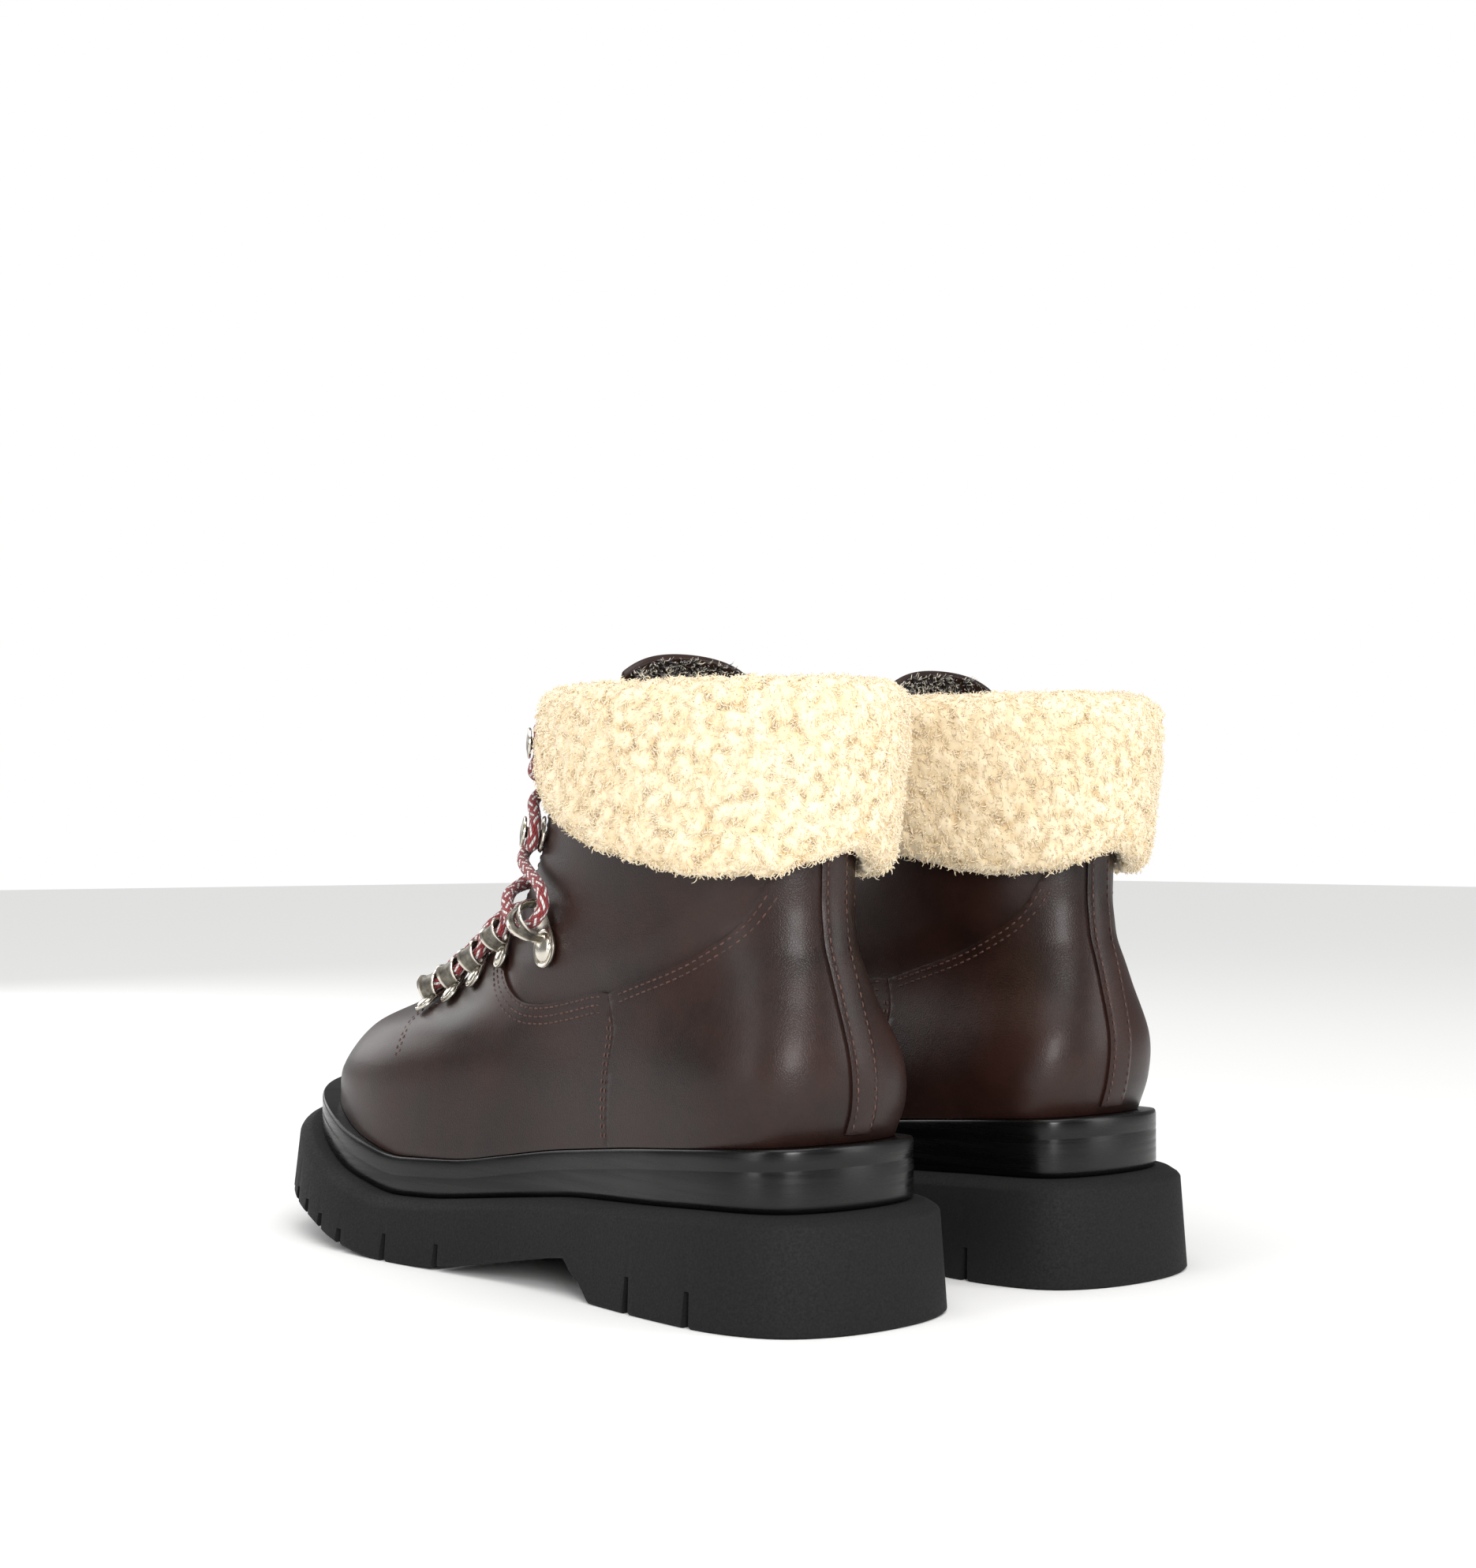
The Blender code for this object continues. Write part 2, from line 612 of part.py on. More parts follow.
# ---- shearling cuff, open at the throat
cuffT = np.linspace(2.10, -2.10, 18)
cuffLow = np.interp(np.abs(cuffT), [0, 0.45, 0.9, 1.6, 2.1], [5.55, 5.2, 5.25, 5.8, 6.3])
cuffRise = 0.0060
cuffRows = []
for t, low in zip(cuffT, cuffLow):
    fat = cuffThick * (0.86 + 0.14 * np.cos(t / 2))
    inside = -0.0009 - 0.0019 * np.exp(-(t / 0.3)**2)
    section = [upper(low, t, inside), upper(low - 0.1, t, -fat * 0.55),
               upper(low + 0.15, t, -fat * 0.95), upper((low + 7) / 2, t, -fat),
               upper(6.75, t, -fat), upper(7, t, -fat * 0.85) + (0, 0, cuffRise * 0.4),
               upper(7, t, -fat * 0.4) + (0, 0, cuffRise),
               upper(7, t, leather) + (0, 0, cuffRise),
               upper(7, t, throatInset - gap) + (0, 0, cuffRise * 0.5),
               upper(7, t, throatInset - gap) + (0, 0, 0.0008),
               upper(7, t, inside) + (0, 0, 0.0008),
               upper((low + 7) / 2, t, inside)]
    cuffRows.append(np.array(section))
bm = bmesh.new()
rows = [[bm.verts.new(p) for p in toFrame(row)] for row in cuffRows]
for a, b in zip(rows, rows[1:]):
    for i in range(12):
        j = (i + 1) % 12
        bm.faces.new((a[i], a[j], b[j], b[i]))
bm.faces.new(rows[0])
bm.faces.new(rows[-1])
bmesh.ops.triangulate(bm, faces=[f for f in bm.faces if len(f.verts) > 4])
newObject('cuff_L', bm, 'cuff_shearling')

# ---- tongue: fixed lower part, and a flap that leans back into the shaft
tongueFace = throatInset + 0.0016
tongueS = np.array([2.95, 3.4, 3.9, 4.4, 4.9, 5.4, 5.86])
tongueT = pi + np.linspace(-0.66, 0.66, 9)
s, t = np.meshgrid(tongueS, tongueT, indexing='ij')
newObject('tongue_L', sheet(upper(s, t, tongueFace), upper(s, t, tongueFace + tongueThick)),
          'tongue_leather')
tongueEdge = upper(tongueS[-1], tongueT, tongueFace)
hinge = upper(tongueS[-1], pi, tongueFace + tongueThick / 2)
hinge[2] = tongueEdge[:, 2].max() + 0.0009
tongueTop = np.array([0.0, 0.094 * longScale, 0.207 * highScale])
flapHalf = 0.039 * wideScale - 2 * throatInset   # clear of the lining on both sides
lean = np.linspace(0, 1, 6)
faceRows = []
backRows = []
for k in lean:
    bow = np.array([0, 0.001 * np.sin(pi * k), 0])
    middle = hinge * (1 - k) + tongueTop * k + bow
    middle[0] = 0.0022 * (1 - 0.5 * k)
    nextPoint = hinge * (1 - k - 0.01) + tongueTop * (k + 0.01)
    nextPoint = nextPoint + np.array([0, 0.001 * np.sin(pi * (k + 0.01)), 0])
    way = (nextPoint - middle)
    way[0] = 0
    way /= np.linalg.norm(way)
    normal = np.array([0, way[2] * k + 1 - k, -way[1] * k])
    normal /= np.linalg.norm(normal)
    half = flapHalf * (0.62 + 0.36 * k - 0.10 * k**4)
    for rows, depth in ((faceRows, 0.5), (backRows, -0.5)):
        line = []
        for a in np.linspace(-1, 1, 7):
            sag = 0.016 * (1 - 0.6 * k) * a * a
            drop = way * (0.0040 * a**4 * k**3)
            point = middle + np.array([a * half, 0, 0]) - normal * (sag - depth * tongueThick) - drop
            line.append(point)
        rows.append(line)
flap = newObject('tongue_flap_L', sheet(np.array(faceRows), np.array(backRows)), 'tongue_leather')

# ---- metal fittings
labels = ['tunnel_eyelet_1', 'tunnel_eyelet_2', 'tunnel_eyelet_3', 'tunnel_eyelet_4', 'ankle_hook',
          'lower_speed_hook', 'upper_speed_hook']
for hand, side in ((1, 'lateral'), (-1, 'medial')):
    for index, label in enumerate(labels):
        fitting(index, hand, side + '_' + label + '_L')

# ---- lace: one cord, both ends tucked inside the shaft
laceLift = plateTop + laceDiameter / 2 + 0.0007


gridS, gridT = np.meshgrid(np.linspace(2.2, 7, 121), np.linspace(1.3, 2 * pi - 1.3, 161), indexing='ij')
skinPoints = upper(gridS, gridT)
skinOut = upper(gridS, gridT, -0.001) - skinPoints


def aboveSkin(point, height):
    """The nearest point of the closed upper, raised by height."""
    away = np.linalg.norm(skinPoints - point, axis=-1)
    cell = np.unravel_index(np.argmin(away), away.shape)
    out = skinOut[cell]
    return skinPoints[cell] + out / np.linalg.norm(out) * height


def strand(first):
    """Half of the lace, from below the first tunnel up to its tucked end."""
    path = []
    hand = first
    for index in range(7):
        s, t = fittings[index]
        if index < 5:
            size = 1.0 if index < 4 else 1.25
            reach = 0.0056 if index < 4 else 0.0088
            for y in (-reach, reach):
                path.append(local(index, hand, hoodAt * size, y, laceLift * size))
            if index == 4:
                path.append(local(index, hand, hoodAt * size + 0.0055, reach + 0.0010, laceLift * size))
        else:
            around5 = 0.0017 + laceDiameter / 2 + 0.0005
            lift = plateTop + laceDiameter / 2 + 0.0006
            for x, y in ((0.6, -1.15), (-0.75, -0.8), (-1.05, 0), (-0.75, 0.8), (0.6, 1.15)):
                path.append(local(index, hand, x * around5, y * around5, lift))
        if index < 6:
            over = (first > 0) == (index % 2 == 0)
            start = path[-1]
            if index + 1 < 5:
                size = 1.0 if index + 1 < 4 else 1.25
                reach = -0.0056 if index + 1 < 4 else -0.0088
                end = local(index + 1, -hand, hoodAt * size, reach, laceLift * size)
            else:
                end = local(index + 1, -hand, 0.0025, -0.0048, laceLift)
            for f in (0.25, 0.5, 0.75):
                if over:
                    height = 0.0066 if f == 0.5 else 0.0058
                else:
                    height = 0.0014 if f == 0.5 else (0.0036 if index < 3 else 0.0064)
                swell = 4 * f * (1 - f)
                bow = np.array([(0, 0, 0), (0, 0.016, 0.013), (0, 0.028, 0.008)][max(min(index, 5) - 2, 0) % 3]) * swell
                path.append(aboveSkin(start * (1 - f) + end * f + bow, height))
            hand = -hand
    path.append(upper(6.88, pi - hand * 0.36, -0.0030))
    path.append(upper(6.80, pi - hand * 0.24, 0.0030))
    path.append(upper(6.62, pi - hand * 0.22, 0.0080))
    path.append(upper(6.40, pi - hand * 0.22, 0.0085))
    return path


left = strand(1)
right = strand(-1)
bridge = [aboveSkin(right[0] * (1 - f) + left[0] * f, 0.0046) for f in (0.16, 0.38, 0.62, 0.84)]
lacePath = right[::-1] + bridge + left
curve = bpy.data.curves.new('lace_L', 'CURVE')
curve.dimensions = '3D'
curve.bevel_depth = laceDiameter / 2
curve.bevel_resolution = 1
curve.use_fill_caps = True
spline = curve.splines.new('POLY')
spline.points.add(len(lacePath) - 1)
for point, p in zip(spline.points, toFrame(np.array(lacePath))):
    point.co = (*p, 1)
tubeOb = bpy.data.objects.new('lacePath', curve)
bpy.context.scene.collection.objects.link(tubeOb)
laceMesh = bpy.data.meshes.new_from_object(tubeOb.evaluated_get(bpy.context.evaluated_depsgraph_get()))
bpy.data.objects.remove(tubeOb)
bm = bmesh.new()
bm.from_mesh(laceMesh)
newObject('lace_L', bm, 'lace_braid')

# ---- finish the left boot and mirror it for the right
bpy.context.view_layer.update()
for ob in list(made):
    bm = bmesh.new()
    bm.from_mesh(ob.data)
    flat = [f for f in bm.faces if len(f.verts) > 4]
    bmesh.ops.triangulate(bm, faces=flat)
    bmesh.ops.recalc_face_normals(bm, faces=bm.faces)
    bm.to_mesh(ob.data)
    bm.free()
    twinMesh = ob.data.copy()
    bm = bmesh.new()
    bm.from_mesh(twinMesh)
    for v in bm.verts:
        v.co.x = -v.co.x
    bmesh.ops.reverse_faces(bm, faces=bm.faces)
    bm.to_mesh(twinMesh)
    bm.free()
    twin = bpy.data.objects.new(ob.name[:-2] + '_R', twinMesh)
    bpy.context.scene.collection.objects.link(twin)
    made.append(twin)

# the flap turns about its lower edge
for side, sign in (('L', 1), ('R', -1)):
    ob = bpy.data.objects['tongue_flap_' + side]
    axis = Vector(toFrame(hinge))
    axis.x *= sign
    for v in ob.data.vertices:
        v.co -= axis
    ob.location = axis

for ob in made:
    bpy.context.view_layer.objects.active = ob
    for other in bpy.context.selected_objects:
        other.select_set(False)
    ob.select_set(True)
    ob.data.polygons.foreach_set('use_smooth', [True] * len(ob.data.polygons))
    ob.data.set_sharp_from_angle(angle=0.6)
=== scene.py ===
import bpy
import bmesh
import numpy as np
from math import pi, sin, cos, radians
from mathutils import Matrix, Vector
from mathutils.kdtree import KDTree


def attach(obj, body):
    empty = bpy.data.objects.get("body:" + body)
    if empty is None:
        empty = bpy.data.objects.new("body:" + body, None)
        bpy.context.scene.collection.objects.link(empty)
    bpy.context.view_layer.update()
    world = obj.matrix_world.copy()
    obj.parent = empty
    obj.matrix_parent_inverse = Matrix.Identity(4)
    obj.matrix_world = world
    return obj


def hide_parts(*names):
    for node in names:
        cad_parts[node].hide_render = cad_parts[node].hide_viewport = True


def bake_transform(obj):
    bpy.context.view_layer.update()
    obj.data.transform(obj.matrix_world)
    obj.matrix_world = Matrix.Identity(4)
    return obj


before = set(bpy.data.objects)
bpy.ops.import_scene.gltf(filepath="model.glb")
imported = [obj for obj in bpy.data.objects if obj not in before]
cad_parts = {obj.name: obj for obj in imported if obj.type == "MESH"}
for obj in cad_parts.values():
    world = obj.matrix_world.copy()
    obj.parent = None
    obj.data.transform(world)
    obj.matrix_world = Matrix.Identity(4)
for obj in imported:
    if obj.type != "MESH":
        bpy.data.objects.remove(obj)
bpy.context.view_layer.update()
print("frame loaded")

# what both boots share, in metres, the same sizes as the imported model
boot = {"soleLength": 0.300, "pairPitch": 0.1164, "leather": 0.0020, "lining": 0.0022,
        "stiffener": 0.0011, "tongue": 0.0028, "lace": 0.0042, "cuff": 0.0130, "gap": 0.0003}
soleTable = np.array([(0, 0, 0), (2, 17, 17), (8, 30, 30), (28, 42, 40), (60, 44.5, 41.5), (95, 43.5, 40),
                      (130, 44, 40), (165, 49, 45.5), (200, 54, 50.5), (232, 55, 51.5), (262, 49, 46),
                      (285, 35.5, 34), (296, 19, 19), (300, 0, 0)]) / 1000   # from heel, outer half, inner half
ledgeLine = np.array([(0, 35), (40, 34), (80, 31.5), (110, 30), (145, 26), (180, 22), (206, 21),
                      (237, 27), (266, 37), (300, 47)]) / 1000
midTopLine = np.array([(0, 55), (40, 52.5), (80, 49), (123, 44), (168, 36.5), (206, 34.5),
                       (233, 40), (255, 47), (300, 58)]) / 1000
treadLine = np.array([(0, 0), (94, 0), (95.5, 13), (107, 12), (150, 4), (175, 0), (205, 0),
                      (228, 3.5), (242, 8), (262, 12.5), (300, 22)]) / 1000
ringTable = np.array([   # heel v z, toe v z, half widths out and in, roundness, bend, shift, narrowing
    (14, 54, 283, 55, 44.5, 41, 0.0, 1.0, 0, 0), (10, 66, 281, 62, 46, 43, 0.0, 1.6, 0, 0.06),
    (9.5, 80, 269, 77, 45, 42, 0.1, 1.4, 1, 0.28), (14, 98, 240, 88, 41, 37, 0.5, 1.2, 2, 0.5),
    (19, 116, 203, 103, 37, 34.5, 0.8, 1.0, 2.5, 0.38), (20, 134, 174, 124, 36, 34, 0.9, 1.0, 2.5, 0.25),
    (18, 158, 157, 150, 37, 36, 1.0, 1.0, 2.5, 0.15), (14, 190, 152, 190, 39, 38, 1.0, 1.0, 2.5, 0.15)])


def smooth(x):
    x = np.clip(x, 0, 1)
    return x * x * (3 - 2 * x)


def along(line, v):
    return np.interp(v, line[:, 0], line[:, 1])


def easedLine(line, v):   # the same heights with rounded corners, for the soles
    return sum(along(line, v + d) for d in (-0.006, -0.003, 0, 0.003, 0.006)) / 5


def halfWidth(v, column):
    angle = np.arccos(1 - 2 * np.clip(v / boot["soleLength"], 0, 1))
    knots = np.arccos(1 - 2 * soleTable[:, 0] / boot["soleLength"])
    width = soleTable[:, column]
    slope = np.gradient(width, knots)
    i = np.clip(np.searchsorted(knots, angle) - 1, 0, len(knots) - 2)
    h = knots[i + 1] - knots[i]
    x = (angle - knots[i]) / h
    a = (2 * x**3 - 3 * x**2 + 1) * width[i] + (x**3 - 2 * x**2 + x) * h * slope[i]
    return a + (3 * x**2 - 2 * x**3) * width[i + 1] + (x**3 - x**2) * h * slope[i + 1]


def ringPoint(row, t):
    vb, zb, vf, zf, wl, wm, k, bend, shift, narrow = row
    f = (1 - np.cos(t)) / 2
    v = (vb + (vf - vb) * f) / 1000
    vo = boot["soleLength"] * f
    out = np.sin(t) >= 0
    sole = np.where(out, halfWidth(vo, 1) / 55 * wl, halfWidth(vo, 2) / 51.5 * wm)
    egg = np.where(out, wl, wm) * np.abs(np.sin(t)) / 1000
    w = ((1 - k) * sole + k * egg) * (1 - narrow * f**2)
    u = np.where(out, w, -w) + (shift - 3 * f**3 * (1 - k)) / 1000
    return np.stack([u, v, (zb + (zf - zb) * f**bend) / 1000], -1)


def upperRaw(s, t):
    rows = np.array([ringPoint(row, t) for row in ringTable])
    rows[0, ..., 2] = easedLine(midTopLine, rows[0, ..., 1]) + 0.0002
    last = len(ringTable) - 1
    i = np.clip(np.floor(s).astype(int), 0, last - 1)
    x = (s - i)[..., None]
    cell = tuple(np.indices(s.shape))
    p1 = rows[(i,) + cell]
    p2 = rows[(i + 1,) + cell]
    p0 = np.where((i > 0)[..., None], rows[(np.maximum(i - 1, 0),) + cell], 2 * p1 - p2)
    p3 = np.where((i + 1 < last)[..., None], rows[(np.minimum(i + 2, last),) + cell], 2 * p2 - p1)
    a = 2 * p1 + (p2 - p0) * x + (2 * p0 - 5 * p1 + 4 * p2 - p3) * x * x
    return 0.5 * (a + (3 * p1 - p0 - 3 * p2 + p3) * x**3)


def inwardOf(s, t):
    e = 1e-3
    n = np.cross(upperRaw(np.minimum(s + e, 7), t) - upperRaw(np.maximum(s - e, 0), t),
                 upperRaw(s, t + e) - upperRaw(s, t - e))
    n /= np.linalg.norm(n, axis=-1)[..., None]
    flat = n * (1, 1, 0)
    flat /= np.linalg.norm(flat, axis=-1)[..., None]
    low = np.clip(1 - s / 0.8, 0, 1)[..., None]
    n = n * (1 - low) + flat * low
    return n / np.linalg.norm(n, axis=-1)[..., None]


def upper(s, t, inset=0.0):   # height parameter 0 to 7, angle 0 at the heel and pi at the toe
    s, t = np.broadcast_arrays(np.asarray(s, float), np.asarray(t, float))
    return upperRaw(s, t) + inwardOf(s, t) * np.asarray(inset)[..., None]


def toFrame(p):   # boot coordinates (outwards, from the heel, up) to the frame, left boot
    p = np.asarray(p, float)
    return np.stack([boot["pairPitch"] / 2 + p[..., 0], boot["soleLength"] / 2 - p[..., 1], p[..., 2]], -1)


# ---- materials
def hexColour(text):
    c = [int(text[i:i + 2], 16) / 255 for i in (1, 3, 5)]
    return tuple(x / 12.92 if x <= 0.04045 else ((x + 0.055) / 1.055) ** 2.4 for x in c) + (1,)


def addNode(tree, kind, settings=None, **links):
    node = tree.nodes.new(kind)
    for key, value in (settings or {}).items():
        if key in node.inputs.keys():
            node.inputs[key].default_value = value
        elif isinstance(key, int):
            node.inputs[key].default_value = value
        else:
            setattr(node, key, value)
    for key, source in links.items():
        numbered = key[0] == "i" and key[1:].isdigit()
        target = node.inputs[int(key[1:]) if numbered else key.replace("_", " ")]
        tree.links.new(source, target)
    return node


def newMaterial(name, colour, roughness, metallic=0.0, **sockets):
    mat = bpy.data.materials.new(name)
    mat.use_nodes = True
    shader = mat.node_tree.nodes["Principled BSDF"]
    shader.inputs["Base Color"].default_value = hexColour(colour)
    shader.inputs["Roughness"].default_value = roughness
    shader.inputs["Metallic"].default_value = metallic
    for key, value in sockets.items():
        shader.inputs[key.replace("_", " ")].default_value = value
    return mat, mat.node_tree, shader


def colourRamp(tree, factor, stops):
    ramp = addNode(tree, "ShaderNodeValToRGB", Fac=factor)
    ramp.color_ramp.elements[0].position = stops[0][0]
    ramp.color_ramp.elements[0].color = hexColour(stops[0][1])
    ramp.color_ramp.elements[1].position = stops[-1][0]
    ramp.color_ramp.elements[1].color = hexColour(stops[-1][1])
    for place, colour in stops[1:-1]:
        ramp.color_ramp.elements.new(place).color = hexColour(colour)
    return ramp.outputs["Color"]


def fullGrainLeather(name, dark, light):   # waxed full-grain calf: deep brown, satin, fine pores
    mat, tree, shader = newMaterial(name, dark, 0.36, Coat_Weight=0.08, Coat_Roughness=0.2, Specular_IOR_Level=0.32)
    place = addNode(tree, "ShaderNodeTexCoord").outputs["Object"]
    cloud = addNode(tree, "ShaderNodeTexNoise", {"Scale": 28.0, "Detail": 4.0, "Roughness": 0.6}, Vector=place)
    fine = addNode(tree, "ShaderNodeTexNoise", {"Scale": 900.0, "Detail": 2.0}, Vector=place)
    tone = addNode(tree, "ShaderNodeMath", {"operation": "MULTIPLY_ADD", 1: 0.22}, i0=fine.outputs["Fac"],
                   i2=cloud.outputs["Fac"])
    tree.links.new(colourRamp(tree, tone.outputs[0], [(0.42, dark), (0.72, light)]), shader.inputs["Base Color"])
    rough = addNode(tree, "ShaderNodeMapRange", {"To Min": 0.29, "To Max": 0.46}, Value=tone.outputs[0])
    tree.links.new(rough.outputs["Result"], shader.inputs["Roughness"])
    # 0.9 mm grain
    pores = addNode(tree, "ShaderNodeTexVoronoi", {"Scale": 1150.0, "feature": "DISTANCE_TO_EDGE"}, Vector=place)
    cell = addNode(tree, "ShaderNodeMapRange", {"From Max": 0.22}, Value=pores.outputs["Distance"])
    both = addNode(tree, "ShaderNodeMath", {"operation": "MULTIPLY_ADD", 1: 0.7}, i0=fine.outputs["Fac"],
                   i2=cell.outputs["Result"])
    bump = addNode(tree, "ShaderNodeBump", {"Strength": 0.20, "Distance": 0.00016}, Height=both.outputs[0])
    tree.links.new(bump.outputs["Normal"], shader.inputs["Normal"])
    return mat


def mouldedRubber(name, colour, roughness, grit, strength, streaks=0.0):   # black rubber, moulded
    mat, tree, shader = newMaterial(name, colour, roughness, Specular_IOR_Level=0.34)
    place = addNode(tree, "ShaderNodeTexCoord").outputs["Object"]
    grain = addNode(tree, "ShaderNodeTexNoise", {"Scale": grit, "Detail": 3.0, "Roughness": 0.7}, Vector=place)
    bump = addNode(tree, "ShaderNodeBump", {"Strength": strength, "Distance": 0.0003}, Height=grain.outputs["Fac"])
    tree.links.new(bump.outputs["Normal"], shader.inputs["Normal"])
    long = addNode(tree, "ShaderNodeMapping", {"Scale": (14, 14, 420)}, Vector=place)   # drawn along the wall
    streak = addNode(tree, "ShaderNodeTexNoise", {"Scale": 1.0, "Detail": 5.0, "Roughness": 0.65},
                     Vector=long.outputs["Vector"])
    source = streak if streaks else grain
    spread = streaks if streaks else 0.12
    rough = addNode(tree, "ShaderNodeMapRange", {"From Min": 0.3, "From Max": 0.7, "To Min": roughness - spread,
                                                 "To Max": roughness + spread}, Value=source.outputs["Fac"])
    tree.links.new(rough.outputs["Result"], shader.inputs["Roughness"])
    return mat, tree, shader, place


leatherMat = fullGrainLeather("waxed_full_grain_leather", "#190c08", "#2b1610")
tongueMat = fullGrainLeather("soft_tongue_leather", "#1c0f0b", "#2f1c15")
midsoleMat = mouldedRubber("polished_midsole_rubber", "#070707", 0.27, 300.0, 0.05, 0.12)[0]
outsoleMat, outTree, outShader, outPlace = mouldedRubber("matte_tread_rubber", "#0c0c0d", 0.78, 1300.0, 0.30)
# fine pale specks
dust = addNode(outTree, "ShaderNodeTexNoise", {"Scale": 2600.0, "Detail": 1.0}, Vector=outPlace)
outTree.links.new(colourRamp(outTree, dust.outputs["Fac"],
                             [(0.0, "#050506"), (0.62, "#09090a"), (0.72, "#1c1c1e")]),
                  outShader.inputs["Base Color"])


def shearlingMaterial(name, shade, light, tips="#fff6e2"):   # curly sheepskin: cream tips, with painted shade darkening the roots and the hollows through the depth attribute
    mat, tree, shader = newMaterial(name, light, 0.92, Sheen_Weight=0.35, Sheen_Roughness=0.5,
                                    Specular_IOR_Level=0.2)
    depth = addNode(tree, "ShaderNodeAttribute", {"attribute_name": "depth"})
    place = addNode(tree, "ShaderNodeTexCoord").outputs["Object"]
    cloud = addNode(tree, "ShaderNodeTexNoise", {"Scale": 90.0, "Detail": 3.0}, Vector=place)
    tone = addNode(tree, "ShaderNodeMath", {"operation": "MULTIPLY_ADD", 1: 0.35}, i0=cloud.outputs["Fac"],
                   i2=depth.outputs["Fac"])
    # the shade end of the ramp is painted shade where depth is low: at curl roots and in the hollows between knobs
    tree.links.new(colourRamp(tree, tone.outputs[0], [(0.15, shade), (0.62, light), (1.0, tips)]),
                   shader.inputs["Base Color"])
    return mat


shearlingMat = shearlingMaterial("curly_shearling", "#dfc290", "#f1e0c0", "#f9ead0")
darkFurMat = shearlingMaterial("dark_tongue_fur", "#141213", "#2e2b2d")

# cast, plated, rubbed back
nickelMat, nickelTree, nickelShader = newMaterial("antique_nickel_plate", "#aaa396", 0.33, 1.0)
nickelPlace = addNode(nickelTree, "ShaderNodeTexCoord").outputs["Object"]
tarnish = addNode(nickelTree, "ShaderNodeTexNoise", {"Scale": 420.0, "Detail": 5.0, "Roughness": 0.7},
                  Vector=nickelPlace)
edge = addNode(nickelTree, "ShaderNodeAttribute", {"attribute_name": "rim"})
worn = addNode(nickelTree, "ShaderNodeMath", {"operation": "MULTIPLY_ADD", 1: 0.55}, i0=tarnish.outputs["Fac"],
               i2=edge.outputs["Fac"])
nickelTree.links.new(colourRamp(nickelTree, worn.outputs[0],
                                [(0.12, "#3a3733"), (0.38, "#8b857a"), (0.8, "#d6d0c4")]),
                     nickelShader.inputs["Base Color"])
nickelRough = addNode(nickelTree, "ShaderNodeMapRange",
                      {"From Min": 0.2, "From Max": 0.8, "To Min": 0.48, "To Max": 0.2},
                      Value=worn.outputs[0])
nickelTree.links.new(nickelRough.outputs["Result"], nickelShader.inputs["Roughness"])
nickelBump = addNode(nickelTree, "ShaderNodeBump", {"Strength": 0.15, "Distance": 0.0002},
                     Height=tarnish.outputs["Fac"])
nickelTree.links.new(nickelBump.outputs["Normal"], nickelShader.inputs["Normal"])


def braidMaterial():   # round polyester braid, red with white carriers
    mat, tree, shader = newMaterial("red_white_braid", "#8c2328", 0.75, Sheen_Weight=0.2)
    uv = addNode(tree, "ShaderNodeUVMap", {"uv_map": "braid"}).outputs["UV"]
    parts = addNode(tree, "ShaderNodeSeparateXYZ", Vector=uv)
    run, turn = parts.outputs["X"], parts.outputs["Y"]   # run in braid steps, turn in strands

    def maths(operation, a, b=None, c=None):
        node = addNode(tree, "ShaderNodeMath", {"operation": operation})
        for i, value in enumerate((a, b, c)):
            if isinstance(value, (int, float)):
                node.inputs[i].default_value = value
            elif value is not None:
                tree.links.new(value, node.inputs[i])
        return node.outputs[0]
    right = maths("ADD", turn, run)
    left = maths("SUBTRACT", turn, run)
    i = maths("FLOOR", right)
    j = maths("FLOOR", left)
    parity = maths("FLOORED_MODULO", maths("ADD", i, j), 2.0)
    whiteA = maths("LESS_THAN", maths("FLOORED_MODULO", i, 3.0), 0.5)
    whiteB = maths("LESS_THAN", maths("FLOORED_MODULO", j, 3.0), 0.5)
    white = maths("ADD", maths("MULTIPLY", parity, whiteA),
                  maths("MULTIPLY", maths("SUBTRACT", 1.0, parity), whiteB))
    acrossA = maths("ABSOLUTE", maths("SUBTRACT", maths("FRACT", right), 0.5))
    acrossB = maths("ABSOLUTE", maths("SUBTRACT", maths("FRACT", left), 0.5))
    hollow = maths("MULTIPLY", maths("MAXIMUM", acrossA, acrossB), 2.0)
    hill = maths("SUBTRACT", 1.0, maths("POWER", hollow, 2.5))
    # both ramps run dark into the hollows between strands and slightly lighter on their crowns: painted shade and a
    # faint painted highlight
    red = colourRamp(tree, hill, [(0.0, "#3a0d10"), (0.6, "#8e262b"), (1.0, "#a9373a")])
    pale = colourRamp(tree, hill, [(0.0, "#6b5a58"), (0.5, "#d9d2cf"), (1.0, "#f2eeec")])
    mix = addNode(tree, "ShaderNodeMix", {"data_type": "RGBA"})
    tree.links.new(white, mix.inputs[0])
    tree.links.new(red, mix.inputs[6])
    tree.links.new(pale, mix.inputs[7])
    tree.links.new(mix.outputs[2], shader.inputs["Base Color"])
    bump = addNode(tree, "ShaderNodeBump", {"Strength": 0.6, "Distance": 0.0005}, Height=hill)
    tree.links.new(bump.outputs["Normal"], shader.inputs["Normal"])
    return mat


braidMat = braidMaterial()
threadMat, threadTree, threadShader = newMaterial("waxed_brown_thread", "#4b2f26", 0.6)
threadTone = addNode(threadTree, "ShaderNodeTexNoise", {"Scale": 600.0, "Detail": 2.0},
                     Vector=addNode(threadTree, "ShaderNodeTexCoord").outputs["Object"])
threadTree.links.new(colourRamp(threadTree, threadTone.outputs["Fac"], [(0.3, "#2c1a15"), (0.7, "#5d3c31")]),
                     threadShader.inputs["Base Color"])


